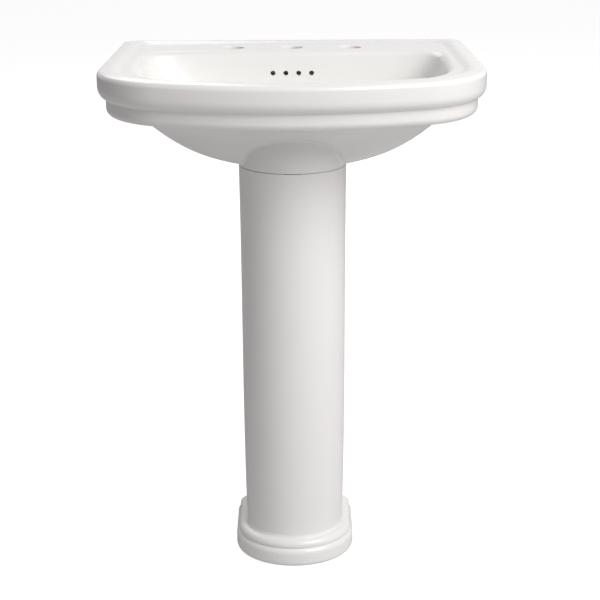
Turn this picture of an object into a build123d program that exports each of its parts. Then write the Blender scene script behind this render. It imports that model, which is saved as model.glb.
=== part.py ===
from build123d import *
import os
from math import cos, pi, radians, sin, sqrt

os.makedirs("parts", exist_ok=True)

# Pedestal sink, millimetres. The origin is on the floor, on the axis of the drain and pedestal.
# +Z is up, +Y points at the wall and the front of the basin faces -Y.

# Plan of the basin
AXIS_TO_WALL = 250.0
RIM_HEIGHT = 857.0
BACK_WIDTH = 600.0
SIDE_FLARE = 2.0  # degrees that each side opens towards the front
BASIN_DEPTH = 481.0
FRONT_RADIUS = 604.0
CORNER_RADIUS = 150.0

# Bands and rim of the basin
UPPER_BAND = 45.0
LOWER_BAND = 28.0
BAND_STEP = 13.0
UPPER_BAND_ROUND = 19.0
LOWER_BAND_ROUND = 12.0
RIM_EDGE_ROUND = 9.0
RIM_WIDTH = 30.0
REAR_RIM_WIDTH = 13.0
RECESS_DEPTH = 4.0
RECESS_COVE = 2.2
RECESS_CORNER = 24.0
RIM_INNER_ROUND = 1.6

# Bowl, measured from the drain axis at its mouth
RIM_TO_MOUTH = 55.0  # from the outside to the wall of the bowl
DECK_DEPTH = 108.0
DECK_THICKNESS = 14.0
BOWL_DEPTH = 150.0
BOWL_WALL = 12.0
BOWL_FLOOR = 14.0
MOUTH_ROUND = 9.0
BOWL_SIDE_POWER = 4.6
BOWL_FRONT_START = 36.0  # reach of the floor to the front, where the sloping front wall starts
BOWL_BACK_POWER = 5.0
MOUTH_FRONT_SQUARENESS = 3.0
MOUTH_BACK_SQUARENESS = 7.5
BOTTOM_SQUARENESS = 2.2

# Closed underside of the basin, at the lower edge of the lower band
UNDER_FRONT_LIP = 30.0
UNDER_SIDE_LIP = 40.0
UNDER_BACK = 146.0
UNDER_SIDE_POWER = 3.2
UNDER_FRONT_START = 52.0
UNDER_FRONT_POWER = 2.4
UNDER_SQUARENESS = 2.5
SECTION_POINTS = 40

# Holes of the basin
FAUCET_SPACING = 101.6
FAUCET_HOLE = 35.0
FAUCET_FROM_WALL = 64.0
OVERFLOW_COUNT = 4
OVERFLOW_HOLE = 8.5
OVERFLOW_PITCH = 22.0
OVERFLOW_DROP = 37.0  # below the deck
WALL_BOLT_SPACING = 203.2
WALL_BOLT_HOLE = 13.0
APRON_THICKNESS = 14.0
APRON_WIDTH = 300.0
APRON_HEIGHT = 97.0
WALL_BOLT_RISE = 30.0  # above the lower edge of the apron
APRON_CORNER = 18.0
REAR_HOLLOW_MARGIN = 34.0

# Overflow duct behind the bowl
DUCT_WIDTH = 84.0
DUCT_GAP = 10.0
DUCT_WALL = 8.0
DUCT_FROM_WALL = 94.0  # rear face of the hollow
DUCT_FLOOR_DROP = 29.0  # from the bowl's floor down to the floor of the duct
DUCT_FOOT_HEIGHT = 14.0
DUCT_FOOT_WIDTH = 36.0

# Drain hole and boss
DRAIN_HOLE = 45.0
BOSS_DIAMETER = 92.0
BOSS_DROP = 39.0  # from the bowl's floor down to the gasket face
DRAIN_SEAT = 68.0

# Pedestal, half widths of its U-shaped plan
JOINT_GAP = 0.8
PEDESTAL_BACK = 105.0  # behind the axis
BOW_RATIO = 0.96  # how far the round front reaches, as a share of the half width
COLUMN_TOP = 89.0
COLUMN_MIDDLE = 87.4
COLUMN_LOW = 85.6
COLUMN_FOOT = 82.8
MIDDLE_HEIGHT = 430.0
LOW_HEIGHT = 150.0
PEDESTAL_WALL = 12.0
BACK_LIP = 16.0
BASE_PAD_HEIGHT = 60.0
FOOT_HALF_WIDTH = 102.5
FOOT_BLOCK = 33.0
FOOT_BLOCK_ROUND = 10.0
FOOT_SOLE_ROUND = 8.0
FOOT_MOULDING_INSET = 4.0
FOOT_MOULDING = 13.0
FOOT_MOULDING_ROUND = 11.0
FOOT_COVE = 5.0
FOOT_COVE_OUT = 2.5
FOOT_WALL = 14.0
FOOT_CEILING = 12.0
WEB_FRONT = -24.0
WEB_DEPTH = 102.0
WEB_THICKNESS = 14.0
FLOOR_BOLT_HOLE = 11.0
FLOOR_BOLT_BACK = 56.0  # behind the axis
PAD_LENGTH = 26.0
PAD_WIDTH = 9.0

# Drain
FIT_GAP = 0.1  # between plain turned faces that slide together
FLANGE_DIAMETER = 63.0
FLANGE_THICKNESS = 3.0
FLANGE_SEAL_DIAMETER = 58.0
FLANGE_SEAL_THICKNESS = 1.5
BODY_DIAMETER = 39.0
BODY_WALL = 3.0
BODY_LENGTH = 92.0
PORT_HEIGHT = 9.0
PORT_WIDTH = 11.0
GASKET_TOP = 60.0
GASKET_BOTTOM = 48.0
GASKET_HEIGHT = 15.0
WASHER_DIAMETER = 54.0
WASHER_THICKNESS = 2.0
LOCKNUT_FLATS = 52.0
LOCKNUT_HEIGHT = 12.0
SPIDER_DROP = 50.0  # from the flange seat to the top of the cross bar
SPIDER_HEIGHT = 7.0
SPIDER_BAR = 4.0
HUB_DIAMETER = 17.0

# Stopper
STOPPER_LIFT = 10.0
STEM_DIAMETER = 7.0
STEM_FIT = 0.07
GUIDE_DIAMETER = 11.0
GUIDE_FLANGE = 15.0
GUIDE_FLANGE_HEIGHT = 5.0
GUIDE_LENGTH = 18.0
FRICTION_RING_DIAMETER = 11.4
FRICTION_RING_HEIGHT = 2.6
CLIP_DIAMETER = 13.0
CLIP_THICKNESS = 1.5
CLIP_CLEARANCE = 0.5
STEM_END = 3.0
SEAL_DIAMETER = 44.0
SEAL_BORE = 14.0
SEAL_THICKNESS = 2.0
CAP_DIAMETER = 48.0
CAP_EDGE = 1.8
CAP_DOME = 4.5
KNOB_DIAMETER = 15.0
KNOB_NECK = 8.0
KNOB_HEIGHT = 13.0
STEM_SOCKET = 5.0

# Tailpiece and trap
TUBE_DIAMETER = 31.75
TUBE_WALL = 1.2
COUPLING_LENGTH = 14.0
COUPLING_DIAMETER = 35.0
COUPLING_SEAL = 1.5
TAIL_DROP = 112.5  # from the end of the drain to the trap's inlet
TRAP_SOCKET = 34.0  # straight part of each leg of the trap
TRAP_WALL = 1.5
TRAP_FIT = 0.4
TRAP_RADIUS = 32.0
TRAP_COLLAR = 41.0
TRAP_COLLAR_HEIGHT = 20.0
SLIP_INSERT = 28.0
NUT_DIAMETER = 52.0
NUT_HEIGHT = 24.0
NUT_TOP = 3.0
NUT_RIBS = 8
NUT_RIB_WIDTH = 7.0
NUT_RIB_OUT = 2.5
SLIP_WASHER = 5.0
ARM_RISE = 16.0  # from the outlet of the trap to the start of the arm's bend
ARM_RADIUS = 42.0
ARM_PAST_WALL = 38.0
ARM_SPIGOT = 31.0  # diameter of the end that goes into the wall
CLEANOUT_BOSS = 24.0
CLEANOUT_BORE = 15.0
CLEANOUT_BOSS_DROP = 7.0
PLUG_FLATS = 19.0
PLUG_HEAD = 7.0
PLUG_WASHER = 2.0
PLUG_SHANK = 10.0
ESCUTCHEON_DIAMETER = 76.0
ESCUTCHEON_DEPTH = 12.0
ESCUTCHEON_SHEET = 1.5
ESCUTCHEON_NECK = 46.0

# Heights and places that follow from the sizes above
DECK_Z = RIM_HEIGHT - RECESS_DEPTH
BAND_Z = RIM_HEIGHT - UPPER_BAND
UNDER_Z = BAND_Z - LOWER_BAND
FLOOR_Z = DECK_Z - BOWL_DEPTH
SEAT_Z = FLOOR_Z - BOWL_FLOOR
PEDESTAL_Z = SEAT_Z - JOINT_GAP
BOSS_Z = FLOOR_Z - BOSS_DROP
APRON_Z = DECK_Z - DECK_THICKNESS - APRON_HEIGHT
DUCT_Z = FLOOR_Z - DUCT_FLOOR_DROP
FLANGE_Z = FLOOR_Z + FLANGE_SEAL_THICKNESS
SEAL_Z = FLANGE_Z + FLANGE_THICKNESS
BODY_END_Z = FLANGE_Z - BODY_LENGTH
SPIDER_Z = FLANGE_Z - SPIDER_DROP
TUBE_RADIUS = TUBE_DIAMETER / 2
TRAP_BORE_RADIUS = TUBE_RADIUS + TRAP_FIT
TRAP_OUTER_RADIUS = TRAP_BORE_RADIUS + TRAP_WALL
TRAP_TOP = BODY_END_Z - TAIL_DROP
TRAP_BEND_Z = TRAP_TOP - TRAP_SOCKET
OUTLET_Y = 2 * TRAP_RADIUS
ARM_Z = TRAP_TOP + ARM_RISE + ARM_RADIUS
LOW = (Align.CENTER, Align.CENTER, Align.MIN)


# Small helpers

def disc(radius, z0, z1):
    """A plain cylinder on the drain axis between two heights."""
    return Pos(0, 0, z0) * Cylinder(radius, z1 - z0, align=LOW)


def ring(outer, inner, z0, z1):
    """A plain ring on the drain axis between two heights."""
    return disc(outer, z0, z1) - disc(inner, z0, z1)


def block(x0, x1, y0, y1, z0, z1):
    """A box between two corners."""
    size = Box(x1 - x0, y1 - y0, z1 - z0)
    return Pos((x0 + x1) / 2, (y0 + y1) / 2, (z0 + z1) / 2) * size


def prism(face, z0, z1):
    """A flat outline drawn at height zero, raised between two heights."""
    return Pos(0, 0, z0) * extrude(face, amount=z1 - z0, dir=(0, 0, 1))


def edges_at(solid, z):
    """The level edges of a solid at one height."""
    return solid.edges().filter_by_position(Axis.Z, z, z)


def front_edges(solid, z, back):
    """The level edges at one height, without the straight one at the back."""
    return [edge for edge in edges_at(solid, z) if edge.center().Y < back - 0.01]


# Basin

def side_line(inset):
    """A point on the straight right side at the wall, and the way it runs to the front."""
    flare = radians(SIDE_FLARE)
    inward = Vector(-cos(flare), -sin(flare))
    point = Vector(BACK_WIDTH / 2, AXIS_TO_WALL) + inward * inset
    return point, Vector(sin(flare), -cos(flare)), inward


def plan_centres():
    """Centres of the right front corner arc and of the bowed front, and the run of the side."""
    point, along, inward = side_line(0)
    bow = Vector(0, AXIS_TO_WALL - BASIN_DEPTH + FRONT_RADIUS)
    start = point + inward * CORNER_RADIUS - bow
    reach = FRONT_RADIUS - CORNER_RADIUS
    slope = start.dot(along)
    run = -slope + sqrt(slope**2 - start.dot(start) + reach**2)
    return start + along * run + bow, bow, run


def basin_plan(inset, rear=0.0):
    """The D-shaped outline of the basin, drawn in by an inset, with its back edge off the wall."""
    corner, bow, run = plan_centres()
    point, along, inward = side_line(inset)
    outward = (corner - bow).normalized()
    back_y = AXIS_TO_WALL - rear
    back = point + along * ((point.Y - back_y) / -along.Y)
    side = point + along * run
    middle = (outward - inward).normalized()
    joint = bow + outward * (FRONT_RADIUS - inset)
    knee = corner + middle * (CORNER_RADIUS - inset)
    nose = bow - Vector(0, FRONT_RADIUS - inset)

    def left(p):
        return Vector(-p.X, p.Y)

    return Face(Wire([
        Line(back, side),
        ThreePointArc(side, knee, joint),
        ThreePointArc(joint, nose, left(joint)),
        ThreePointArc(left(joint), left(knee), left(side)),
        Line(left(side), left(back)),
        Line(left(back), back),
    ]))


def side_at_axis(inset):
    """Half width of the basin at the drain axis."""
    point, along, inward = side_line(inset)
    return point.X + along.X * (point.Y / -along.Y)


def oval(z, half, front, back, front_power, back_power):
    """A level oval of the bowl: half width, reach to the front and to the back, and squareness."""
    points = []
    for step in range(SECTION_POINTS):
        angle = 2 * pi * step / SECTION_POINTS
        across, ahead = cos(angle), sin(angle)
        reach, power = (back, back_power) if ahead > 0 else (front, front_power)
        size = (abs(across / half) ** power + abs(ahead / reach) ** power) ** (-1 / power)
        points.append((across * size, ahead * size, z))
    return Wire([Spline(points, periodic=True)])


def mouth():
    """Half width, front reach and back reach of the bowl at its mouth."""
    half = side_at_axis(RIM_TO_MOUTH)
    front = BASIN_DEPTH - AXIS_TO_WALL - RIM_TO_MOUTH
    return half, front, AXIS_TO_WALL - DECK_DEPTH


def bowl_oval(level, grow=0.0):
    """The oval of the bowl's wall at a share of its depth, grown outwards by a wall or a round."""
    half, front, back = mouth()
    bend = BOTTOM_SQUARENESS
    return oval(
        FLOOR_Z + BOWL_DEPTH * level,
        half * level ** (1 / BOWL_SIDE_POWER) + grow,
        BOWL_FRONT_START + (front - BOWL_FRONT_START) * level + grow,
        back * level ** (1 / BOWL_BACK_POWER) + grow,
        bend + (MOUTH_FRONT_SQUARENESS - bend) * level,
        bend + (MOUTH_BACK_SQUARENESS - bend) * level,
    )


def bowl_form(top, wall=0.0):
    """The form of the bowl up to a share of its depth, grown by a wall."""
    shares = (0.2, 0.45, 0.65, 0.8, 0.91, 1.0)
    return Solid.make_loft([bowl_oval(top * share**BOWL_SIDE_POWER, wall) for share in shares])


def bowl_inside():
    """The hollow of the bowl up to its rounded edge, as a cutter."""
    return bowl_form(1 - MOUTH_ROUND / BOWL_DEPTH)


def mouth_round():
    """The rounded edge between the bowl and the deck, as a cutter."""
    sections = []
    for turn in (0, 30, 60, 90):
        drop = MOUTH_ROUND * (1 - sin(radians(turn)))
        sections.append(bowl_oval(1 - drop / BOWL_DEPTH, MOUTH_ROUND * (1 - cos(radians(turn)))))
    return Solid.make_loft(sections)


def underside():
    """The closed outer form of the bowl below the bands."""
    half = side_at_axis(BAND_STEP + UNDER_SIDE_LIP)
    front = BASIN_DEPTH - AXIS_TO_WALL - BAND_STEP - UNDER_FRONT_LIP
    sections = []
    for share in (0.3, 0.5, 0.68, 0.84, 1.0, 1.03):
        level = share**UNDER_SIDE_POWER
        bend = BOTTOM_SQUARENESS
        power = bend + (UNDER_SQUARENESS - bend) * level
        sections.append(oval(
            SEAT_Z + (UNDER_Z - SEAT_Z) * level,
            half * share,
            UNDER_FRONT_START + (front - UNDER_FRONT_START) * min(level, 1.0) ** UNDER_FRONT_POWER,
            UNDER_BACK * share,
            power,
            power,
        ))
    return Solid.make_loft(sections)


def bands():
    """The two stepped bands round the sides and front."""
    upper = prism(basin_plan(0), BAND_Z, RIM_HEIGHT)
    upper = fillet(front_edges(upper, RIM_HEIGHT, AXIS_TO_WALL), RIM_EDGE_ROUND)
    upper = fillet(front_edges(upper, BAND_Z, AXIS_TO_WALL), UPPER_BAND_ROUND)
    upper -= recess()
    inside = prism(basin_plan(RIM_EDGE_ROUND + 1, 1), RIM_HEIGHT - 1, RIM_HEIGHT + 1)
    inner = [edge for edge in edges_at(upper, RIM_HEIGHT) if inside.is_inside(edge.center())]
    upper = fillet(inner, RIM_INNER_ROUND)
    lower = prism(basin_plan(BAND_STEP), UNDER_Z, BAND_Z + UPPER_BAND_ROUND)
    lower = fillet(front_edges(lower, UNDER_Z, AXIS_TO_WALL), LOWER_BAND_ROUND)
    return upper + lower


def recess():
    """The sunk deck and ledge inside the raised rim, as a cutter."""
    tool = prism(basin_plan(RIM_WIDTH, REAR_RIM_WIDTH), DECK_Z, RIM_HEIGHT + RECESS_DEPTH)
    rear = tool.edges().filter_by(Axis.Z).group_by(Axis.Y)[-1]
    tool = fillet(rear, RECESS_CORNER)
    return fillet(edges_at(tool, DECK_Z), RECESS_COVE)


def duct_shell():
    """The outside of the overflow duct, down the back of the bowl and under its floor."""
    rear = AXIS_TO_WALL - DUCT_FROM_WALL + DUCT_WALL
    wide = DUCT_WIDTH / 2 + DUCT_WALL
    narrow = DUCT_FOOT_WIDTH / 2 + DUCT_WALL
    front = rear - DUCT_GAP - 2 * DUCT_WALL
    back = block(-wide, wide, front, rear, DUCT_Z, DECK_Z - DECK_THICKNESS)
    return back + block(-narrow, narrow, 0, rear, BOSS_Z, DUCT_Z + DUCT_FOOT_HEIGHT + DUCT_WALL)


def duct_hollow():
    """The way of the overflowing water, from the holes down to the drain."""
    rear = AXIS_TO_WALL - DUCT_FROM_WALL
    wide = DUCT_WIDTH / 2
    narrow = DUCT_FOOT_WIDTH / 2
    top = DECK_Z - OVERFLOW_DROP + OVERFLOW_HOLE
    shaft = block(-wide, wide, rear - DUCT_GAP, rear, DUCT_Z + DUCT_WALL, top)
    foot = block(-narrow, narrow, 0, rear, DUCT_Z, DUCT_Z + DUCT_FOOT_HEIGHT)
    holes = Part()
    first = -OVERFLOW_PITCH * (OVERFLOW_COUNT - 1) / 2
    reach = DECK_DEPTH - DUCT_FROM_WALL + DUCT_GAP + OVERFLOW_HOLE
    for number in range(OVERFLOW_COUNT):
        place = Pos(first + number * OVERFLOW_PITCH, rear, DECK_Z - OVERFLOW_DROP) * Rot(90, 0, 0)
        holes += place * Cylinder(OVERFLOW_HOLE / 2, reach, align=LOW)
    return shaft + foot + holes


def apron():
    """The upright plate at the back that lies on the wall."""
    plate = block(
        -APRON_WIDTH / 2, APRON_WIDTH / 2,
        AXIS_TO_WALL - APRON_THICKNESS, AXIS_TO_WALL,
        APRON_Z, DECK_Z - DECK_THICKNESS,
    )
    return fillet(plate.edges().filter_by(Axis.Y).group_by(Axis.Z)[0], APRON_CORNER)


def rear_hollow():
    """The open space below the deck, between the bowl and the wall, as a cutter."""
    half = side_at_axis(REAR_HOLLOW_MARGIN)
    space = block(
        -half, half, 0, AXIS_TO_WALL - APRON_THICKNESS,
        APRON_Z, DECK_Z - DECK_THICKNESS,
    )
    return space - underside() - bowl_form(1.0, BOWL_WALL) - duct_shell()


def basin_holes():
    """Faucet holes, wall bolt holes and the drain hole with its flat seat."""
    faucet_y = AXIS_TO_WALL - FAUCET_FROM_WALL
    holes = disc(DRAIN_HOLE / 2, BOSS_Z - 1, FLOOR_Z + BOWL_FLOOR)
    holes += disc(DRAIN_SEAT / 2, FLOOR_Z, FLOOR_Z + BOWL_FLOOR)
    for side in (-1, 0, 1):
        drill = Cylinder(FAUCET_HOLE / 2, DECK_THICKNESS + 2 * RECESS_DEPTH, align=LOW)
        holes += Pos(side * FAUCET_SPACING, faucet_y, DECK_Z - DECK_THICKNESS - RECESS_DEPTH) * drill
    for side in (-1, 1):
        place = Pos(side * WALL_BOLT_SPACING / 2, AXIS_TO_WALL, APRON_Z + WALL_BOLT_RISE) * Rot(90, 0, 0)
        holes += place * Cylinder(WALL_BOLT_HOLE / 2, 2 * APRON_THICKNESS, align=(Align.CENTER,) * 3)
    return holes


def base_pad():
    """The pad under the bowl that sits on the pedestal."""
    return prism(pedestal_plan(COLUMN_TOP), SEAT_Z, SEAT_Z + BASE_PAD_HEIGHT)


def basin():
    """The whole basin."""
    body = bands() - rear_hollow()
    body += underside()
    body += base_pad()
    body += apron()
    body += duct_shell()
    body += disc(BOSS_DIAMETER / 2, BOSS_Z, FLOOR_Z)
    body -= bowl_inside()
    body -= mouth_round()
    body -= duct_hollow()
    return body - basin_holes()


# Pedestal

def pedestal_plan(half):
    """The U-shaped outline of the pedestal: round front, straight sides and a flat back."""
    back = PEDESTAL_BACK
    nose = EllipticalCenterArc((0, 0), half, half * BOW_RATIO, start_angle=180, arc_size=180)
    return Face(Wire([
        Line((-half, back), (-half, 0)),
        nose,
        Line((half, 0), (half, back)),
        Line((half, back), (-half, back)),
    ]))


def plan_at(half, z):
    """The outer wire of the U-shaped outline at one height."""
    return (Pos(0, 0, z) * pedestal_plan(half)).outer_wire()


def column(wall=0.0):
    """The tapering column, or its hollow when drawn in by a wall."""
    foot = FOOT_BLOCK if wall == 0 else -1.0
    heights = (foot, LOW_HEIGHT, MIDDLE_HEIGHT, PEDESTAL_Z)
    halves = (COLUMN_FOOT, COLUMN_LOW, COLUMN_MIDDLE, COLUMN_TOP)
    wires = [plan_at(half - wall, z) for half, z in zip(halves, heights)]
    return Solid.make_loft(wires)


def foot():
    """The moulded foot: a block, a smaller moulding on it and a cove up to the column."""
    block_part = prism(pedestal_plan(FOOT_HALF_WIDTH), 0, FOOT_BLOCK)
    block_part = fillet(front_edges(block_part, FOOT_BLOCK, PEDESTAL_BACK), FOOT_BLOCK_ROUND)
    block_part = fillet(front_edges(block_part, 0, PEDESTAL_BACK), FOOT_SOLE_ROUND)
    top = FOOT_BLOCK + FOOT_MOULDING
    moulding = prism(pedestal_plan(FOOT_HALF_WIDTH - FOOT_MOULDING_INSET), FOOT_BLOCK - 1, top)
    moulding = fillet(front_edges(moulding, top, PEDESTAL_BACK), FOOT_MOULDING_ROUND)
    low = plan_at(COLUMN_FOOT + FOOT_COVE_OUT, top)
    high = plan_at(COLUMN_FOOT, top + FOOT_COVE)
    return block_part + moulding + Solid.make_loft([low, high], ruled=True)


def pedestal():
    """The hollow pedestal with its open back and the web for the floor screw."""
    body = foot() + column()
    inner_back = PEDESTAL_BACK - PEDESTAL_WALL
    hollow = column(PEDESTAL_WALL) & block(
        -COLUMN_TOP, COLUMN_TOP, -COLUMN_TOP, inner_back, -1, PEDESTAL_Z
    )
    half_slot = COLUMN_FOOT - PEDESTAL_WALL - BACK_LIP
    slot = block(-half_slot, half_slot, 0, PEDESTAL_BACK + 1, -1, PEDESTAL_Z + 1)
    foot_top = FOOT_BLOCK + FOOT_MOULDING - FOOT_CEILING
    foot_hollow = prism(pedestal_plan(FOOT_HALF_WIDTH - FOOT_WALL), -1, foot_top) & block(
        -FOOT_HALF_WIDTH, FOOT_HALF_WIDTH, -FOOT_HALF_WIDTH, inner_back, -1, foot_top
    )
    body = body - hollow - slot - foot_hollow
    half_web = FOOT_HALF_WIDTH - FOOT_WALL / 2
    body += block(-half_web, half_web, WEB_FRONT, WEB_FRONT + WEB_DEPTH, 0, WEB_THICKNESS)
    return body - Pos(0, FLOOR_BOLT_BACK, -1) * Cylinder(
        FLOOR_BOLT_HOLE / 2, WEB_THICKNESS + 2, align=LOW
    )


def seat_pads():
    """Three rubber pads in the joint, one at the front and one near the end of each side."""
    middle = COLUMN_TOP - PEDESTAL_WALL / 2
    front = Pos(0, -middle * BOW_RATIO, PEDESTAL_Z) * Box(PAD_LENGTH, PAD_WIDTH, JOINT_GAP, align=LOW)
    rear_y = PEDESTAL_BACK - PAD_LENGTH
    pads = [front]
    for side in (-1, 1):
        pad = Box(PAD_WIDTH, PAD_LENGTH, JOINT_GAP, align=LOW)
        pads.append(Pos(side * middle, rear_y, PEDESTAL_Z) * pad)
    return Compound(children=pads)


# Drain

def drain_body():
    """Flange, threaded body with overflow ports, cross bar with its hub, and the coupling below."""
    outer = BODY_DIAMETER / 2
    inner = outer - BODY_WALL
    flange = fillet(edges_at(disc(FLANGE_DIAMETER / 2, FLANGE_Z, SEAL_Z), SEAL_Z), FLANGE_THICKNESS / 2)
    body = flange + disc(outer, BODY_END_Z, FLANGE_Z) - disc(inner, BODY_END_Z, SEAL_Z)
    coupling = disc(COUPLING_DIAMETER / 2, BODY_END_Z, BODY_END_Z + COUPLING_LENGTH + COUPLING_SEAL)
    body -= coupling
    bar_z = SPIDER_Z - SPIDER_HEIGHT / 2
    for turn in (0, 90):
        body += Pos(0, 0, bar_z) * Rot(0, 0, turn) * Box(2 * inner + BODY_WALL, SPIDER_BAR, SPIDER_HEIGHT)
    body += disc(HUB_DIAMETER / 2, SPIDER_Z - SPIDER_HEIGHT, SPIDER_Z)
    body -= disc(GUIDE_DIAMETER / 2 + FIT_GAP, SPIDER_Z - SPIDER_HEIGHT, SPIDER_Z)
    port = Box(PORT_WIDTH, BODY_DIAMETER + BODY_WALL, PORT_HEIGHT)
    return body - Pos(0, 0, DUCT_Z + DUCT_FOOT_HEIGHT / 2) * port


def drain_gasket():
    """The tapered gasket below the boss."""
    top = BOSS_Z
    low = Pos(0, 0, top - GASKET_HEIGHT) * Cone(
        GASKET_BOTTOM / 2, GASKET_TOP / 2, GASKET_HEIGHT, align=LOW
    )
    return low - disc(BODY_DIAMETER / 2 + FIT_GAP, top - GASKET_HEIGHT, top)


def hexagon(flats, z0, z1):
    """A hexagonal bar on the drain axis."""
    return prism(make_face(RegularPolygon(flats / 2, 6, major_radius=False).wires()[0]), z0, z1)


def drain_locknut():
    """The locknut, a hexagon with its top and bottom corners turned off."""
    top = BOSS_Z - GASKET_HEIGHT - WASHER_THICKNESS
    nut = hexagon(LOCKNUT_FLATS, top - LOCKNUT_HEIGHT, top)
    return nut - disc(BODY_DIAMETER / 2 + FIT_GAP, top - LOCKNUT_HEIGHT, top)


def stem_guide():
    """The flanged bush in the cross bar, with a seat for the friction ring in its flange."""
    bore = STEM_DIAMETER / 2 + STEM_FIT
    bottom = SPIDER_Z - GUIDE_LENGTH
    top = SPIDER_Z + GUIDE_FLANGE_HEIGHT
    bush = disc(GUIDE_DIAMETER / 2, bottom, SPIDER_Z) + disc(GUIDE_FLANGE / 2, SPIDER_Z, top)
    bush -= disc(FRICTION_RING_DIAMETER / 2 + FIT_GAP, top - FRICTION_RING_HEIGHT, top)
    return bush - disc(bore, bottom, top)


def stopper_cap():
    """The domed cap with its finger knob, and a blind socket for the stem."""
    base = SEAL_Z + SEAL_THICKNESS
    radius = CAP_DIAMETER / 2
    rise = base + CAP_EDGE
    knob = KNOB_DIAMETER / 2
    neck = KNOB_NECK / 2
    top = rise + KNOB_HEIGHT
    outline = Face(Wire([
        Line((0, base), (radius, base)),
        Line((radius, base), (radius, rise)),
        ThreePointArc((radius, rise), (radius * 0.62, rise + CAP_DOME * 0.72), (neck, rise + CAP_DOME)),
        Line((neck, rise + CAP_DOME), (neck, top - knob)),
        ThreePointArc((neck, top - knob), (knob, top - knob / 2), (neck, top)),
        Line((neck, top), (0, top)),
        Line((0, top), (0, base)),
    ]))
    cap = revolve(Rot(90, 0, 0) * outline, Axis.Z)
    return cap - disc(STEM_DIAMETER / 2 + FIT_GAP, base, base + STEM_SOCKET)


def stem_bottom():
    """Height of the lower end of the stem when the stopper is closed."""
    return clip_top() - CLIP_THICKNESS - STEM_END


def clip_top():
    """Height of the top of the clip when the stopper is closed."""
    return SPIDER_Z - GUIDE_LENGTH - STOPPER_LIFT - CLIP_CLEARANCE


# Trap

def tube_path(points, radius):
    """Straight runs in the plane of the trap, joined by one arc."""
    return FilletPolyline(*points, radius=radius)


def pipe(path, outer, inner):
    """A hollow tube swept along a path that starts vertical."""
    start = Plane(origin=path @ 0, z_dir=path % 0)
    solid = sweep(start * Circle(outer), path=path)
    return solid - sweep(start * Circle(inner), path=path)


def tailpiece():
    """The straight tube with its threaded coupling at the top."""
    top = BODY_END_Z + COUPLING_LENGTH
    bottom = TRAP_TOP - SLIP_INSERT
    tube = disc(TUBE_RADIUS, bottom, top)
    tube += disc(COUPLING_DIAMETER / 2 - FIT_GAP, BODY_END_Z, top)
    return tube - disc(TUBE_RADIUS - TUBE_WALL, bottom, top)


def trap_path():
    """Centre line of the U bend: down, half a circle, and up again."""
    low = TRAP_BEND_Z
    inlet = Line((0, 0, TRAP_TOP), (0, 0, low))
    middle = (0, TRAP_RADIUS, low - TRAP_RADIUS)
    bend = ThreePointArc((0, 0, low), middle, (0, OUTLET_Y, low))
    outlet = Line((0, OUTLET_Y, low), (0, OUTLET_Y, TRAP_TOP))
    return Wire([inlet, bend, outlet])


def trap_bend():
    """The U bend with a threaded collar on each leg and a boss for the cleanout plug."""
    path = trap_path()
    start = Plane(origin=(0, 0, TRAP_TOP), z_dir=(0, 0, -1))
    hollow = sweep(start * Circle(TRAP_BORE_RADIUS), path=path)
    body = sweep(start * Circle(TRAP_OUTER_RADIUS), path=path)
    low = TRAP_TOP - TRAP_COLLAR_HEIGHT
    for y in (0, OUTLET_Y):
        body += Pos(0, y, 0) * disc(TRAP_COLLAR / 2, low, TRAP_TOP)
    centre = TRAP_BEND_Z - TRAP_RADIUS
    body += Pos(0, TRAP_RADIUS, 0) * disc(CLEANOUT_BOSS / 2, cleanout_z(), centre)
    body -= hollow
    return body - Pos(0, TRAP_RADIUS, 0) * disc(CLEANOUT_BORE / 2, cleanout_z(), centre)


def cleanout_z():
    """Height of the lower face of the cleanout boss."""
    return TRAP_BEND_Z - TRAP_RADIUS - TRAP_OUTER_RADIUS - CLEANOUT_BOSS_DROP


def cleanout_plug():
    """The plug: a hexagonal head and a plain shank in the boss."""
    face = cleanout_z() - PLUG_WASHER
    head = hexagon(PLUG_FLATS, face - PLUG_HEAD, face)
    shank = disc(CLEANOUT_BORE / 2 - FIT_GAP, face, face + PLUG_SHANK)
    return Pos(0, TRAP_RADIUS, 0) * (head + shank)


def slip_nut(y):
    """A round slip nut with ribs, over a collar of the trap and the washer on it."""
    top = TRAP_TOP + SLIP_WASHER + NUT_TOP
    bottom = top - NUT_HEIGHT
    radius = NUT_DIAMETER / 2 - NUT_RIB_OUT
    nut = disc(radius, bottom, top)
    for number in range(NUT_RIBS):
        rib = Box(NUT_RIB_WIDTH, 2 * NUT_RIB_OUT + 1, NUT_HEIGHT, align=LOW)
        nut += Rot(0, 0, 360 * number / NUT_RIBS) * Pos(0, radius - 0.5, bottom) * rib
    nut -= disc(TRAP_COLLAR / 2 + FIT_GAP, bottom, top - NUT_TOP)
    return Pos(0, y, 0) * (nut - disc(TUBE_RADIUS + TRAP_FIT, bottom, top))


def slip_washer(y):
    """The rubber washer of a slip joint, on the end of a leg of the trap."""
    return Pos(0, y, 0) * ring(
        TRAP_COLLAR / 2 - FIT_GAP, TUBE_RADIUS + FIT_GAP, TRAP_TOP, TRAP_TOP + SLIP_WASHER
    )


def trap_arm():
    """The bent tube from the outlet of the trap through the wall."""
    points = (
        (0, OUTLET_Y, TRAP_TOP - SLIP_INSERT),
        (0, OUTLET_Y, ARM_Z),
        (0, AXIS_TO_WALL + ARM_PAST_WALL, ARM_Z),
    )
    arm = pipe(tube_path(points, ARM_RADIUS), TUBE_RADIUS, TUBE_RADIUS - TUBE_WALL)
    skin = ring(TUBE_RADIUS + 1, ARM_SPIGOT / 2, 0, ARM_PAST_WALL)
    return arm - Pos(0, AXIS_TO_WALL, ARM_Z) * Rot(-90, 0, 0) * skin


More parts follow.
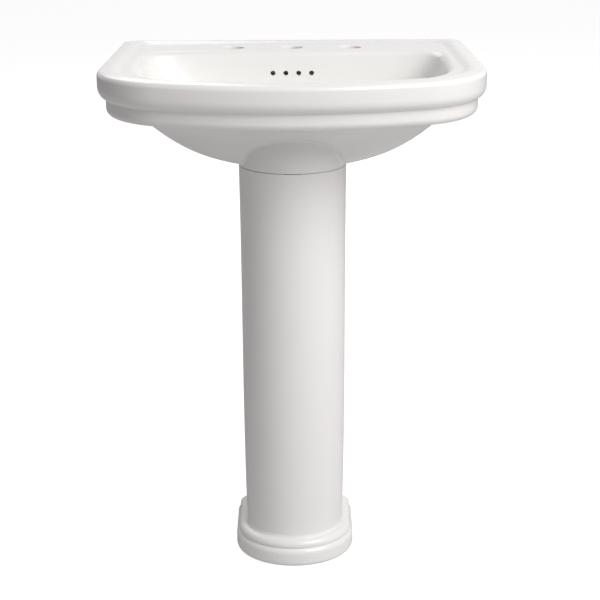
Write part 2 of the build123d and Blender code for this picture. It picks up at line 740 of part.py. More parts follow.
def wall_escutcheon():
    """The pressed cover plate round the arm at the wall."""
    rim = ESCUTCHEON_DIAMETER / 2
    neck = ESCUTCHEON_NECK / 2
    sheet = ESCUTCHEON_SHEET
    bore = TUBE_RADIUS + FIT_GAP
    deep = ESCUTCHEON_DEPTH
    outline = Face(Wire([
        Line((rim, 0), (rim, sheet)),
        Line((rim, sheet), (neck, deep)),
        Line((neck, deep), (bore, deep)),
        Line((bore, deep), (bore, deep - sheet)),
        Line((bore, deep - sheet), (neck - sheet, deep - sheet)),
        Line((neck - sheet, deep - sheet), (rim - 2 * sheet, 0)),
        Line((rim - 2 * sheet, 0), (rim, 0)),
    ]))
    plate = revolve(Rot(90, 0, 0) * outline, Axis.Z)
    return Pos(0, AXIS_TO_WALL, ARM_Z) * Rot(90, 0, 0) * plate


def save(node, shape):
    """Write one node."""
    export_step(shape, f"parts/{node}.step")


gasket_low = BOSS_Z - GASKET_HEIGHT
body_hole = BODY_DIAMETER / 2 + FIT_GAP
coupling_top = BODY_END_Z + COUPLING_LENGTH
guide_top = SPIDER_Z + GUIDE_FLANGE_HEIGHT
stem_bore = STEM_DIAMETER / 2 + STEM_FIT
stem_top = SEAL_Z + SEAL_THICKNESS + STEM_SOCKET
plug_face = cleanout_z() - PLUG_WASHER
plug_ring = ring(CLEANOUT_BOSS / 2, CLEANOUT_BORE / 2, plug_face, cleanout_z())

save("basin", basin())
save("pedestal", pedestal())
save("seat_pads", seat_pads())
save("drain_body", drain_body())
save("flange_seal", ring(FLANGE_SEAL_DIAMETER / 2, DRAIN_HOLE / 2, FLOOR_Z, FLANGE_Z))
save("drain_gasket", drain_gasket())
save("drain_washer", ring(WASHER_DIAMETER / 2, body_hole, gasket_low - WASHER_THICKNESS, gasket_low))
save("drain_locknut", drain_locknut())
save("stem_guide", stem_guide())
save("stem_ring", ring(FRICTION_RING_DIAMETER / 2, stem_bore, guide_top - FRICTION_RING_HEIGHT, guide_top))
save("stopper_cap", stopper_cap())
save("stopper_seal", ring(SEAL_DIAMETER / 2, SEAL_BORE / 2, SEAL_Z, SEAL_Z + SEAL_THICKNESS))
save("stopper_stem", disc(STEM_DIAMETER / 2, stem_bottom(), stem_top))
save("stem_clip", ring(CLIP_DIAMETER / 2, STEM_DIAMETER / 2, clip_top() - CLIP_THICKNESS, clip_top()))
save("tailpiece", tailpiece())
save("tailpiece_seal", ring(
    COUPLING_DIAMETER / 2 - FIT_GAP, TUBE_RADIUS - TUBE_WALL, coupling_top, coupling_top + COUPLING_SEAL
))
save("trap_inlet_nut", slip_nut(0))
save("trap_inlet_washer", slip_washer(0))
save("trap_bend", trap_bend())
save("cleanout_plug", cleanout_plug())
save("cleanout_washer", Pos(0, TRAP_RADIUS, 0) * plug_ring)
save("trap_outlet_nut", slip_nut(OUTLET_Y))
save("trap_outlet_washer", slip_washer(OUTLET_Y))
save("trap_arm", trap_arm())
save("wall_escutcheon", wall_escutcheon())
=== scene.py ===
"""White china pedestal sink: a D-shaped basin on a column, with its drain, stopper and trap."""

import logging
import math
from collections.abc import Callable
from dataclasses import dataclass, field
from enum import Enum

import bmesh
import bpy
from bmesh.types import BMesh
from mathutils import Matrix, Vector


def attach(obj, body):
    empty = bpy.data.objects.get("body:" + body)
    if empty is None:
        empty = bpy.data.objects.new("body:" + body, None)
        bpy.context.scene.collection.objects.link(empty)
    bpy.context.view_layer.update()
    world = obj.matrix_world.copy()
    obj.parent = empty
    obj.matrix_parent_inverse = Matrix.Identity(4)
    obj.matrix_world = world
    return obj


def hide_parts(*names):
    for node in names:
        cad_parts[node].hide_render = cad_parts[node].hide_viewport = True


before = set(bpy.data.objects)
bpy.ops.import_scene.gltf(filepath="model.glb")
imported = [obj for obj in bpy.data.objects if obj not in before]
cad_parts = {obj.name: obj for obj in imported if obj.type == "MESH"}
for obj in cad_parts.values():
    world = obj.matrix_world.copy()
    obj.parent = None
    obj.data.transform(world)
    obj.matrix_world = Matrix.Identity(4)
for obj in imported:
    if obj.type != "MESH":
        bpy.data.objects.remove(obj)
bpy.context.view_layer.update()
LOG = logging.getLogger("pedestal_sink")

Point2 = tuple[float, float]
Point3 = tuple[float, float, float]
Box = tuple[Point3, Point3]  # lowest and highest corner
Loop = list[Vector]
Outline = Callable[[float], float]  # radius by angle
Place = tuple[Vector, Vector]  # a point and the way that a line runs through it
Tree = bpy.types.NodeTree
Socket = bpy.types.NodeSocket

MM = 0.001
WELD = 0.001  # points this close, in millimetres, are one point
QUARTER = math.pi / 2
UP = Vector((0, 0, 1))
BACK = Vector((0, 1, 0))
UPRIGHT = Matrix.Identity(4)

# Sizes that pieces share, in millimetres
WALL_Y = 250.0
FLOOR_Z = 703.0  # floor of the bowl
SEAT_Z = 689.0  # face of the basin on the pads of the column
JOINT_GAP = 0.8
BOSS_Z = 664.0  # lower face of the basin round the drain
DRAIN_HOLE = 22.5
COLUMN_HALF = 89.0  # at the joint
COLUMN_BOW = 0.96  # how far the column's front is bowed, as a share of its half width
COLUMN_BACK = 105.0
FLANGE_SEAL = 1.5
FLANGE = 3.0
FIT = 0.1


class Body(Enum):
    """The two rigid bodies of the sink."""

    SINK = "sink"
    STOPPER = "stopper"


class Join(Enum):
    """How one closed mesh is combined with another."""

    ADD = "UNION"
    CUT = "DIFFERENCE"


# Colour and nodes


def linear(hex_colour: str) -> tuple[float, float, float, float]:
    """Turn an sRGB hex colour into linear RGBA.

    Args:
        hex_colour: six hex digits with a leading hash.

    Returns:
        Linear red, green, blue and an alpha of one.
    """
    parts = [int(hex_colour[i : i + 2], 16) / 255 for i in (1, 3, 5)]
    lin = [p / 12.92 if p <= 0.04045 else ((p + 0.055) / 1.055) ** 2.4 for p in parts]
    return (lin[0], lin[1], lin[2], 1.0)


def add_node(
    tree: Tree, kind: str, settings: dict | None = None, feeds: dict | None = None
) -> bpy.types.Node:
    """Add a node, set its properties or input values, and link its inputs.

    Args:
        tree: the node tree.
        kind: the node's type name.
        settings: property names, or input names or numbers, with their values.
        feeds: input names or numbers, with the sockets that feed them.

    Returns:
        The new node.
    """
    node = tree.nodes.new(kind)
    for key, value in (settings or {}).items():
        if isinstance(key, str) and hasattr(node, key):
            setattr(node, key, value)
        else:
            node.inputs[key].default_value = value
    for key, socket in (feeds or {}).items():
        tree.links.new(socket, node.inputs[key])
    return node


# Finishes

TINT_SPAN = (0.32, 0.6)  # values of the noise between which the shade turns to the colour
GLOSS_SPAN = (0.35, 0.7)  # and the dull patches to the clear ones


@dataclass(frozen=True)
class Finish:
    """A surface finish, with the values of its shader."""

    name: str
    slot: str
    colours: tuple[str, str]  # of the surface, and of its darker or thinner patches
    roughness: Point2  # the least, and that of the dullest patches
    patch_mm: float  # size of the patches
    ripple_mm: Point2  # size and depth of the waves of the surface
    metallic: float = 0.0
    ior: float = 1.5

    def material(self) -> bpy.types.Material:
        """Build the finish once, or return it if it exists.

        Returns:
            The Blender material.
        """
        found = bpy.data.materials.get(self.name)
        if found:
            return found
        made = bpy.data.materials.new(self.name)
        made.use_nodes = True
        tree = made.node_tree
        tree.nodes.clear()
        place = add_node(tree, "ShaderNodeTexCoord").outputs["Object"]
        values = {"Metallic": self.metallic, "IOR": self.ior}
        feeds = {**self.patches(tree, place), "Normal": self.ripple(tree, place)}
        shader = add_node(tree, "ShaderNodeBsdfPrincipled", values, feeds)
        add_node(tree, "ShaderNodeOutputMaterial", feeds={"Surface": shader.outputs["BSDF"]})
        return made

    def patches(self, tree: Tree, place: Socket) -> dict[str, Socket]:
        """Let the colour and the gloss drift a little over the surface.

        Args:
            tree: the material's nodes.
            place: the socket with object coordinates.

        Returns:
            The sockets for the shader's colour and roughness, by the names of its inputs.
        """
        noise = {"Scale": 1 / (self.patch_mm * MM), "Detail": 3.0, "Roughness": 0.55}
        cloud = add_node(tree, "ShaderNodeTexNoise", noise, {"Vector": place}).outputs["Fac"]
        tint = add_node(tree, "ShaderNodeValToRGB", feeds={"Fac": cloud})
        for stop, position, colour in zip(tint.color_ramp.elements, TINT_SPAN, self.colours[::-1]):
            stop.position = position
            stop.color = linear(colour)
        low, high = GLOSS_SPAN
        clear, dull = self.roughness
        span = {"From Min": low, "From Max": high, "To Min": dull, "To Max": clear}
        gloss = add_node(tree, "ShaderNodeMapRange", span, {"Value": cloud})
        return {"Base Color": tint.outputs["Color"], "Roughness": gloss.outputs["Result"]}

    def ripple(self, tree: Tree, place: Socket) -> Socket:
        """Give the surface the waves or the grain that its making leaves.

        Args:
            tree: the material's nodes.
            place: the socket with object coordinates.

        Returns:
            The socket for the shader's normal.
        """
        size, depth = self.ripple_mm
        noise = {"Scale": 1 / (size * MM), "Detail": 1.0, "Roughness": 0.4}
        waves = add_node(tree, "ShaderNodeTexNoise", noise, {"Vector": place})
        values = {"Strength": 1.0, "Distance": depth * MM}
        bump = add_node(tree, "ShaderNodeBump", values, {"Height": waves.outputs["Fac"]})
        return bump.outputs["Normal"]


# Vitreous china: slip cast, sprayed with a thick white glaze and fired. It gives a deep clean gloss
# over a soft white body, with slow waves that bend the reflections a little.
VITREOUS_CHINA = Finish("vitreous_china_white_glaze", "vitreous_china", ("#F0EFEC", "#EFEEEB"),
                        (0.22, 0.26), 160.0, (38.0, 0.05), ior=1.52)
# Bare china: the faces that were left without glaze, dull and slightly warm.
BARE_CHINA = Finish("bare_china_biscuit", "vitreous_china", ("#E6E3DE", "#E1DDD7"),
                    (0.72, 0.85), 26.0, (1.2, 0.03))
# Chrome plate on polished brass: a cold mirror with slight polishing waves and faint water marks.
CHROME = Finish("chrome_plate_polished", "chrome_plate", ("#C9CCCF", "#BFC2C6"),
                (0.07, 0.16), 30.0, (22.0, 0.01), metallic=1.0)
# Cast brass, machined and left bare: warm yellow, browned in patches, with fine tool marks.
BRASS = Finish("brass_machined", "brass", ("#BE9650", "#9C7638"),
               (0.26, 0.42), 11.0, (0.9, 0.012), metallic=1.0)
# Stainless bar, drawn: a grey satin metal with fine draw marks.
STEEL = Finish("stainless_steel_drawn", "stainless_steel", ("#A9A9A6", "#98989A"),
               (0.24, 0.36), 6.0, (0.8, 0.006), metallic=1.0)
# Moulded black rubber: dull and almost black, paler where it has bloomed.
BLACK_RUBBER = Finish("black_rubber_moulded", "black_rubber", ("#222221", "#191918"),
                      (0.6, 0.8), 7.0, (1.5, 0.02))
# Moulded white rubber: soft, dull and a little grey.
WHITE_RUBBER = Finish("white_rubber_moulded", "white_rubber", ("#D9D7CF", "#CECBC1"),
                      (0.5, 0.7), 8.0, (1.5, 0.02))
# Nylon, moulded in its natural colour: waxy off-white.
NYLON = Finish("nylon_natural", "nylon", ("#E2DDCE", "#D8D1BE"), (0.36, 0.5), 10.0, (2.0, 0.01), ior=1.53)


# Numbers and points


def spread(end: float, steps: int) -> list[float]:
    """Numbers from nought to an end in equal steps."""
    return [end * step / steps for step in range(steps + 1)]


def between(low: float, high: float, share: float) -> float:
    """The number at a share of the way from one to another."""
    return low + (high - low) * share


def ease(share: float) -> float:
    """A share from 0 to 1 that starts and ends gently."""
    return 3 * share**2 - 2 * share**3


def polar(angle: float, radius: float, z: float = 0.0) -> Vector:
    """The point at an angle round the Z axis and a distance from it."""
    return Vector((radius * math.cos(angle), radius * math.sin(angle), z))


def arc(centre: Vector, radius: float, first: float, last: float, count: int) -> list[Vector]:
    """A number of flat points on an arc from one angle to another, without its last."""
    return [centre + polar(between(first, last, n / count), radius).xy for n in range(count)]


def rounded(corners: list[Point3], steps: int = 6) -> list[Point2]:
    """Round the corners of a broken line.

    Args:
        corners: the two coordinates of each corner and the radius of its round.
        steps: segments in each round.

    Returns:
        The points of the rounded line.
    """
    line: list[Point2] = []
    for number, (x, y, radius) in enumerate(corners):
        here = Vector((x, y))
        if radius <= 0 or number in (0, len(corners) - 1):
            line.append((x, y))
            continue
        back = (Vector(corners[number - 1][:2]) - here).normalized()
        ahead = (Vector(corners[number + 1][:2]) - here).normalized()
        half = back.angle(ahead) / 2
        run = radius / math.tan(half)
        centre = here + (back + ahead).normalized() * (radius / math.sin(half))
        start = here + back * run - centre
        turn = 1 if back.x * ahead.y - back.y * ahead.x < 0 else -1
        for angle in spread(turn * (math.pi - 2 * half), steps):
            point = centre + Matrix.Rotation(angle, 2) @ start
            line.append((point.x, point.y))
    return line


def thread(radius: float, low: float, high: float, pitch: float, depth: float) -> list[Point2]:
    """The zigzag profile of a thread, drawn from its lower end up.

    Args:
        radius: radius of the crests.
        low: lower end.
        high: upper end.
        pitch: distance between crests.
        depth: how deep the roots are.

    Returns:
        Radius and height of each point.
    """
    turns = max(1, round((high - low) / pitch))
    step = (high - low) / turns
    line: list[Point2] = []
    for number in range(turns):
        base = low + number * step
        line += [(radius - depth, base), (radius, base + step * 0.4), (radius, base + step * 0.6)]
    return line + [(radius - depth, high)]


def six_sided(flats: float) -> Outline:
    """The outline of a hexagon, as a radius by angle, from its width across the flats."""
    return lambda angle: flats / 2 / math.cos((angle + math.pi / 6) % (math.pi / 3) - math.pi / 6)


def ribbed(core: float, out: float, count: int, width: float, flank: float) -> Outline:
    """The outline of a round nut with ribs to grip.

    Args:
        core: radius between the ribs.
        out: how far the ribs stand out.
        count: number of ribs.
        width: their width, at half their height.
        flank: width of each of their sloping flanks.

    Returns:
        The radius as a function of the angle.
    """
    pitch = 2 * math.pi / count

    def radius(angle: float) -> float:
        """Radius in one direction."""
        off = abs((angle + pitch / 2) % pitch - pitch / 2) * core
        return core + out * ease(min(1.0, max(0.0, (width / 2 + flank / 2 - off) / flank)))

    return radius


# Meshes, in millimetres until a piece is finished


def loft(loops: list[Loop], close: bool = False, cap: bool = False) -> BMesh:
    """Skin a row of closed rings, each bridged to the next.

    Args:
        loops: rings with equal numbers of points.
        close: whether the last ring is bridged to the first.
        cap: whether the first and last rings are filled.

    Returns:
        The mesh.
    """
    bm = bmesh.new()
    rings: list[list[bmesh.types.BMEdge]] = []
    for points in loops:
        verts = [bm.verts.new(p) for p in points]
        rings.append([bm.edges.new((verts[i - 1], verts[i])) for i in range(len(verts))])
    for one, other in zip(rings, rings[1:] + (rings[:1] if close else [])):
        bmesh.ops.bridge_loops(bm, edges=one + other)
    for end in (rings[0], rings[-1]) if cap else ():
        bmesh.ops.edgeloop_fill(bm, edges=end)
    bmesh.ops.recalc_face_normals(bm, faces=bm.faces)
    return bm


def turned(
    profile: list[Point2], place: Matrix = UPRIGHT, steps: int = 72, closed: bool = True,
    into: BMesh | None = None,
) -> BMesh:
    """Turn a profile about the Z axis, as on a lathe.

    Args:
        profile: radius and height of each point.
        place: where the turned shape goes.
        steps: facets round the axis.
        closed: whether the profile's last point joins its first.
        into: the mesh that it is added to, or none for a new one.

    Returns:
        The mesh.
    """
    bm = into or bmesh.new()
    before = set(bm.verts)
    verts = [bm.verts.new((r, 0, z)) for r, z in profile]
    edges = [bm.edges.new(pair) for pair in zip(verts, verts[1:])]
    if closed:
        edges.append(bm.edges.new((verts[-1], verts[0])))
    bmesh.ops.spin(bm, geom=verts + edges, cent=(0, 0, 0), axis=UP, angle=2 * math.pi,
                   steps=steps, use_merge=True)
    made = [v for v in bm.verts if v not in before]
    bmesh.ops.remove_doubles(bm, verts=made, dist=WELD)
    made = [v for v in bm.verts if v not in before]
    bmesh.ops.transform(bm, matrix=place, verts=made)
    bmesh.ops.recalc_face_normals(bm, faces=bm.faces)
    return bm


def washer(
    bore: float, radius: float, low: float, high: float, edge: float, place: Matrix = UPRIGHT
) -> BMesh:
    """Turn a flat ring with soft edges.

    Args:
        bore: radius of its hole.
        radius: its outer radius.
        low: height of its lower face.
        high: height of its upper face.
        edge: radius of its edges.
        place: where it goes.

    Returns:
        The mesh.
    """
    middle = (low + high) / 2
    line = rounded([(bore, middle, 0), (bore, high, edge), (radius, high, edge), (radius, low, edge),
                    (bore, low, edge), (bore, middle, 0)], 4)
    return turned(line[:-1], place)


def nut(
    outline: Outline, low: float, high: float, face: float, slope: float, inner: list[Point2],
    place: Matrix = UPRIGHT, cap: bool = False,
) -> BMesh:
    """Loft a nut or a bolt head whose two faces are turned down to a cone at the edge.

    Args:
        outline: its shape.
        low: height of its lower face.
        high: height of its upper face.
        face: radius of the flat of each face.
        slope: how fast the turned edge widens.
        inner: radius and height of the rings that follow the upper face, down a bore or up a shank.
        place: where it goes.
        cap: whether it has filled ends, not a bore.

    Returns:
        The mesh.
    """
    angles = spread(2 * math.pi, 144)[:-1]
    depth = (max(outline(a) for a in angles) - face) / slope

    def level(z: float, widest: float) -> Loop:
        """One ring of the outline, cut off at a radius."""
        return [place @ polar(a, min(outline(a), widest), z) for a in angles]

    drops = spread(depth, 6)
    rings = [level(low + drop, face + slope * drop) for drop in drops]
    rings += [level(high - drop, face + slope * drop) for drop in drops[::-1]]
    rings += [level(z, radius) for radius, z in inner]
    return loft(rings, close=not cap, cap=cap)


def box(low: Point3, high: Point3, edge: float, into: BMesh | None = None) -> BMesh:
    """Make a box with soft edges.

    Args:
        low: lowest corner.
        high: highest corner.
        edge: radius of its edges.
        into: the mesh that it is added to, or none for a new one.

    Returns:
        The mesh.
    """
    bm = into or bmesh.new()
    size = Vector(high) - Vector(low)
    middle = (Vector(high) + Vector(low)) / 2
    place = Matrix.Translation(middle) @ Matrix.Diagonal((*size, 1))
    made = bmesh.ops.create_cube(bm, size=1.0, matrix=place)["verts"]
    edges = list({e for v in made for e in v.link_edges})
    bmesh.ops.bevel(bm, geom=edges, offset=edge, affect="EDGES", segments=3, profile=0.5, material=-1)
    return bm


def rod(
    radius: float, start: Point3, along: Vector, length: float, steps: int = 32, into: BMesh | None = None
) -> BMesh:
    """Make a plain round bar.

    Args:
        radius: its radius.
        start: the centre of one end.
        along: its direction, of length one.
        length: its length.
        steps: facets round it.
        into: the mesh that it is added to, or none for a new one.

    Returns:
        The mesh.
    """
    bm = into or bmesh.new()
    turn = along.to_track_quat("Z", "Y").to_matrix().to_4x4()
    place = Matrix.Translation(Vector(start) + along * length / 2) @ turn
    bmesh.ops.create_cone(bm, cap_ends=True, segments=steps, radius1=radius, radius2=radius,
                          depth=length, matrix=place)
    return bm


@dataclass(frozen=True)
class BentTube:
    """A tube in the plane that halves the sink: a straight leg, an arc and another straight leg."""

    start: Vector
    first: Vector  # the way that it starts
    second: Vector  # the way from the end of the first leg to the middle of the arc
    leg: float
    radius: float
    turn: float

    def at(self, run: float) -> Place:
        """Find the place at a distance along the tube.

        Args:
            run: the distance.

        Returns:
            The point, and the way that the tube runs there.
        """
        if run <= self.leg:
            return self.start + self.first * run, self.first
        angle = min((run - self.leg) / self.radius, self.turn)
        way = self.first * math.cos(angle) + self.second * math.sin(angle)
        out = self.first * math.sin(angle) - self.second * math.cos(angle)
        centre = self.start + self.first * self.leg + self.second * self.radius
        extra = max(0.0, run - self.leg - self.radius * self.turn)
        return centre + out * self.radius + way * extra, way

    def skin(self, walls: list[Point2], steps: int = 64) -> BMesh:
        """Skin the tube's walls.

        Args:
            walls: distance and radius of each ring, along the outside and back along the inside.
            steps: facets round it.

        Returns:
            The mesh.
        """
        side = Vector((1, 0, 0))
        rings: list[Loop] = []
        for run, radius in walls:
            point, way = self.at(run)
            up = way.cross(side)
            turns = spread(2 * math.pi, steps)[:-1]
            rings.append([point + (side * math.cos(t) + up * math.sin(t)) * radius for t in turns])
        return loft(rings, close=True)


# Pieces


def to_object(name: str, bm: BMesh) -> bpy.types.Object:
    """Turn a mesh in millimetres into an object in metres.

    Args:
        name: the object's name.
        bm: the mesh, which is freed.

    Returns:
        The object, linked to the scene.
    """
    bmesh.ops.scale(bm, vec=(MM, MM, MM), verts=bm.verts)
    mesh = bpy.data.meshes.new(name)
    bm.to_mesh(mesh)
    bm.free()
    made = bpy.data.objects.new(name, mesh)
    bpy.context.scene.collection.objects.link(made)
    return made


def combine(target: bpy.types.Object, tool: BMesh, how: Join) -> None:
    """Add a closed mesh to an object or cut it away.

    Args:
        target: the object that changes.
        tool: the other mesh, in millimetres.
        how: add or cut.
    """
    bmesh.ops.recalc_face_normals(tool, faces=tool.faces)
    other = to_object("tool", tool)
    step = target.modifiers.new("join", "BOOLEAN")
    step.operation = how.value
    step.solver = "EXACT"
    step.object = other
    bpy.context.view_layer.update()
    seen = target.evaluated_get(bpy.context.evaluated_depsgraph_get())
    mesh = bpy.data.meshes.new_from_object(seen)
    target.modifiers.clear()
    old, target.data = target.data, mesh
    mesh.name = target.name
    spare = other.data
    bpy.data.objects.remove(other)
    for unused in (old, spare):
        bpy.data.meshes.remove(unused)


def dress(
    piece: bpy.types.Object, finish: Finish, node: str, body: Body = Body.SINK, sharp: float = 32.0
) -> None:
    """Smooth a finished piece, give it its finish and hang it on its body.

    Args:
        piece: the object.
        finish: its finish.
        node: the solid that it stands for.
        body: the body it rides on.
        sharp: edges that turn more than this many degrees stay crisp.
    """
    mesh = piece.data
    mesh.materials.clear()
    mesh.materials.append(finish.material())
    mesh.shade_smooth()
    mesh.set_sharp_from_angle(angle=math.radians(sharp))
    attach(piece, body.value)
    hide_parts(node)
    LOG.info("%s: %d faces, %s", piece.name, len(mesh.polygons), finish.name)


def leave_bare(piece: bpy.types.Object, test: Callable[[Vector, Vector], bool]) -> None:
    """Leave the glaze off some faces of a china piece.

    Args:
        piece: the object.
        test: says for a face's middle, in millimetres, and its normal whether it is bare.
    """
    mesh = piece.data
    mesh.materials.append(BARE_CHINA.material())
    for face in mesh.polygons:
        if test(face.center / MM, face.normal):
            face.material_index = 1


# Basin

FLAT = 0.95  # a face counts as level or upright when this much of its normal is along the axis


@dataclass(frozen=True)
class Oval:
    """A level outline round the drain's axis, with squarer or rounder halves to the front and back."""

    half: float
    front: float
    back: float
    front_power: float
    back_power: float

    def reach(self, angle: float) -> float:
        """Distance from the axis to the outline in one direction.

        Args:
            angle: the direction.

        Returns:
            The distance.
        """
        across, ahead = abs(math.cos(angle)), math.sin(angle)
        far, power = (self.back, self.back_power) if ahead > 0 else (self.front, self.front_power)
        return ((across / self.half) ** power + (abs(ahead) / far) ** power) ** (-1 / power)


@dataclass
class Basin:
    """The basin: one slip casting with stepped bands, a raised rim, a deck and a bowl."""

    wall_y: float = WALL_Y
    back_width: float = 600.0
    flare: float = math.radians(2.0)
    depth: float = 481.0
    front_radius: float = 604.0
    corner_radius: float = 150.0
    counts: tuple[int, int, int, int, int] = (36, 34, 28, 7, 22)  # points of each stretch of the outline
    rim_z: float = 857.0
    deck_z: float = 853.0
    band_z: float = 812.0  # where the upper band starts
    under_z: float = 784.0
    floor_z: float = FLOOR_Z
    seat_z: float = SEAT_Z
    boss_z: float = BOSS_Z
    lip_inset: float = 34.0  # where the flat below the lower band starts
    lip_round: float = 12.0
    step: float = 13.0  # how far the lower band stands back
    step_round: float = 2.2
    step_gap: float = 0.4
    band_cove: Point3 = (13.5, 18.5, 82.0)  # depth, height and turn in degrees of the upper band's cove
    front_lip: float = 30.0
    side_lip: float = 40.0
    rim_width: float = 30.0
    rim_edge: float = 8.5
    rim_crown: Point3 = (19.0, 2.8, 14.0)  # inset of the rim's crown, its height and its round
    ogee: Point2 = (32.0, 16.0)  # inset of the middle of the fall to the deck, and its width
    rear_rim: float = 13.0
    rear_edge: Point2 = (12.0, 2.0)  # inset to which the back edge is rounded, and how far
    rear_corners: tuple[Point2, Point2] = ((14.0, 2.0), (28.0, 24.0))  # inset and radius, first and last
    deck_depth: float = 108.0
    rim_to_mouth: float = 55.0
    mouth_round: float = 9.0
    bowl_powers: Point2 = (4.6, 5.0)  # steepness of its sides and its back
    bowl_start: float = 36.0  # where the sloping front wall starts
    bowl_front: Point2 = (2.2, 3.0)  # squareness at the floor and at the mouth
    bowl_back: Point2 = (2.2, 7.5)
    bowl_end: float = 0.46  # share of the bowl's width where its floor starts
    dish: float = 35.0  # radius of the flat round the drain
    dish_rise: float = 0.6  # height of the floor at its edge
    drain_hole: float = DRAIN_HOLE
    boss: float = 46.0
    pad_half: float = COLUMN_HALF
    pad_bow: float = COLUMN_BOW
    pad_back: float = COLUMN_BACK
    pad_power: float = 16.0
    pad_edge: float = 0.8
    neck_round: float = 8.0
    neck_room: Point2 = (4.0, 0.85)  # where the room for that round is measured, and how much is used
    under_powers: Point2 = (3.2, 2.4)  # fullness of its sides, and hollowness of its front
    under_square: Point2 = (2.2, 2.5)  # squareness at the seat and at the lip
    under_start: float = 52.0  # where its front would meet the seat
    under_back: float = 146.0
    under_cove: Point2 = (0.93, 7.0)  # level where the cove below the lip starts, and its width
    hollow_wall: Point2 = (0.9, 12.0)  # level of the bowl that the hollow follows, and the wall between
    hollow_y: Point2 = (46.0, 236.0)
    hollow_z: Point2 = (742.0, 839.0)
    hollow_side: Point2 = (34.0, 150.0)  # wall at the side, and where it is measured
    apron: Box = ((-150, 236.3, 742), (150, 249.7, 845))
    duct: Box = ((-50, 140, 674), (50, 164, 845))
    duct_foot: Box = ((-26, 30, 664), (26, 163, 696))
    duct_hollow: Box = ((-42, 146, 682), (42, 156, 824.5))
    duct_edges: Point2 = (4.0, 3.0)  # outside and inside
    faucet_hole: Point2 = (17.5, 2.5)  # radius and round
    faucet_depth: Point2 = (-20.0, 4.0)  # from the deck's face
    faucet_x: float = 101.6
    faucet_y: float = 186.0
    overflow: Point2 = (4.25, 22.0)  # radius and spacing
    overflow_start: Point2 = (112.0, 816.0)  # y and z
    bolt: Point3 = (6.5, 101.6, 772.0)  # radius, distance from the middle and height
    angles: list[float] = field(default_factory=list)

    def side(self, inset: float, y: float) -> float:
        """Half width of the straight side at a distance from the wall."""
        start = self.back_width / 2 - inset / math.cos(self.flare)
        return start + (self.wall_y - y) * math.tan(self.flare)

    def plan(self, inset: float, rear: float, z: float, corner: float) -> Loop:
        """The D-shaped outline, drawn in by an inset.

        Args:
            inset: distance inside the widest outline.
            rear: distance of the back edge from the wall.
            z: height.
            corner: radius of the two back corners.

        Returns:
            A ring of points, from the middle of the front round by the right.
        """
        bow = Vector((0, self.wall_y - self.depth + self.front_radius))
        inward = Vector((-math.cos(self.flare), -math.sin(self.flare)))
        along = Vector((math.sin(self.flare), -math.cos(self.flare)))
        start = Vector((self.back_width / 2, self.wall_y)) + inward * self.corner_radius - bow
        slope = start.dot(along)
        gap = (self.front_radius - self.corner_radius) ** 2 - start.length_squared
        knee = start + along * (math.sqrt(slope**2 + gap) - slope) + bow
        joint = math.atan2(knee.y - bow.y, knee.x - bow.x)
        back_y = self.wall_y - rear
        turn = Vector((self.side(inset + corner, back_y - corner), back_y - corner))
        low = knee - inward * (self.corner_radius - inset)
        high = turn - inward * corner
        top = Vector((turn.x, back_y))
        front, bend, straight, edge, rest = self.counts
        half = arc(bow, self.front_radius - inset, -QUARTER, joint, front)
        half += arc(knee, self.corner_radius - inset, joint, self.flare, bend)
        half += [low.lerp(high, share) for share in spread(1.0, straight)[:-1]]
        half += arc(turn, corner, self.flare, QUARTER, edge)
        half += [top.lerp(Vector((0, back_y)), share) for share in spread(1.0, rest)]
        mirrored = [Vector((-p.x, p.y)) for p in half[-2:0:-1]]
        return [Vector((p.x, p.y, z)) for p in half + mirrored]

    def circle(self, radius: float, z: float) -> Loop:
        """A level circle, with its points at the angles of the deck's outline."""
        return [polar(angle, radius, z) for angle in self.angles]

    def bowl(self, level: float, grow: float = 0.0) -> Loop:
        """The inside of the bowl at a share of its depth.

        Args:
            level: 0 at the floor and 1 at the deck.
            grow: how far the ring is grown outwards.

        Returns:
            A ring of points.
        """
        front = self.depth - self.wall_y - self.rim_to_mouth
        back = self.wall_y - self.deck_depth
        side_power, back_power = self.bowl_powers
        shape = Oval(
            self.side(self.rim_to_mouth, 0) * level ** (1 / side_power) + grow,
            between(self.bowl_start, front, level) + grow,
            back * level ** (1 / back_power) + grow,
            between(*self.bowl_front, level),
            between(*self.bowl_back, level),
        )
        z = between(self.floor_z, self.deck_z, level)
        return [polar(angle, shape.reach(angle), z) for angle in self.angles]

    def under_reach(self, angle: float, level: float) -> float:
        """Distance from the axis to the underside at a share of its height.

        Args:
            angle: direction from the axis.
            level: 0 at the seat and 1 at the lip.

        Returns:
            The distance.
        """
        side_power, front_power = self.under_powers
        share = level ** (1 / side_power)
        capped = min(level, 1.0)
        square = between(*self.under_square, capped)
        far = self.depth - self.wall_y - self.step - self.front_lip
        half = self.side(self.step + self.side_lip, 0) * share
        front = between(self.under_start, far, capped**front_power)
        return Oval(half, front, self.under_back * share, square, square).reach(angle)

    def under_height(self, angle: float, reach: float) -> float:
        """Height of the underside above a place, found by halving.

        Args:
            angle: direction from the axis.
            reach: distance from the axis.

        Returns:
            The height in millimetres.
        """
        low, high = 1e-6, 1.4  # levels to either side of every answer
        for _ in range(40):
            level = (low + high) / 2
            if self.under_reach(angle, level) < reach:
                low = level
            else:
                high = level
        return between(self.seat_z, self.under_z, (low + high) / 2)

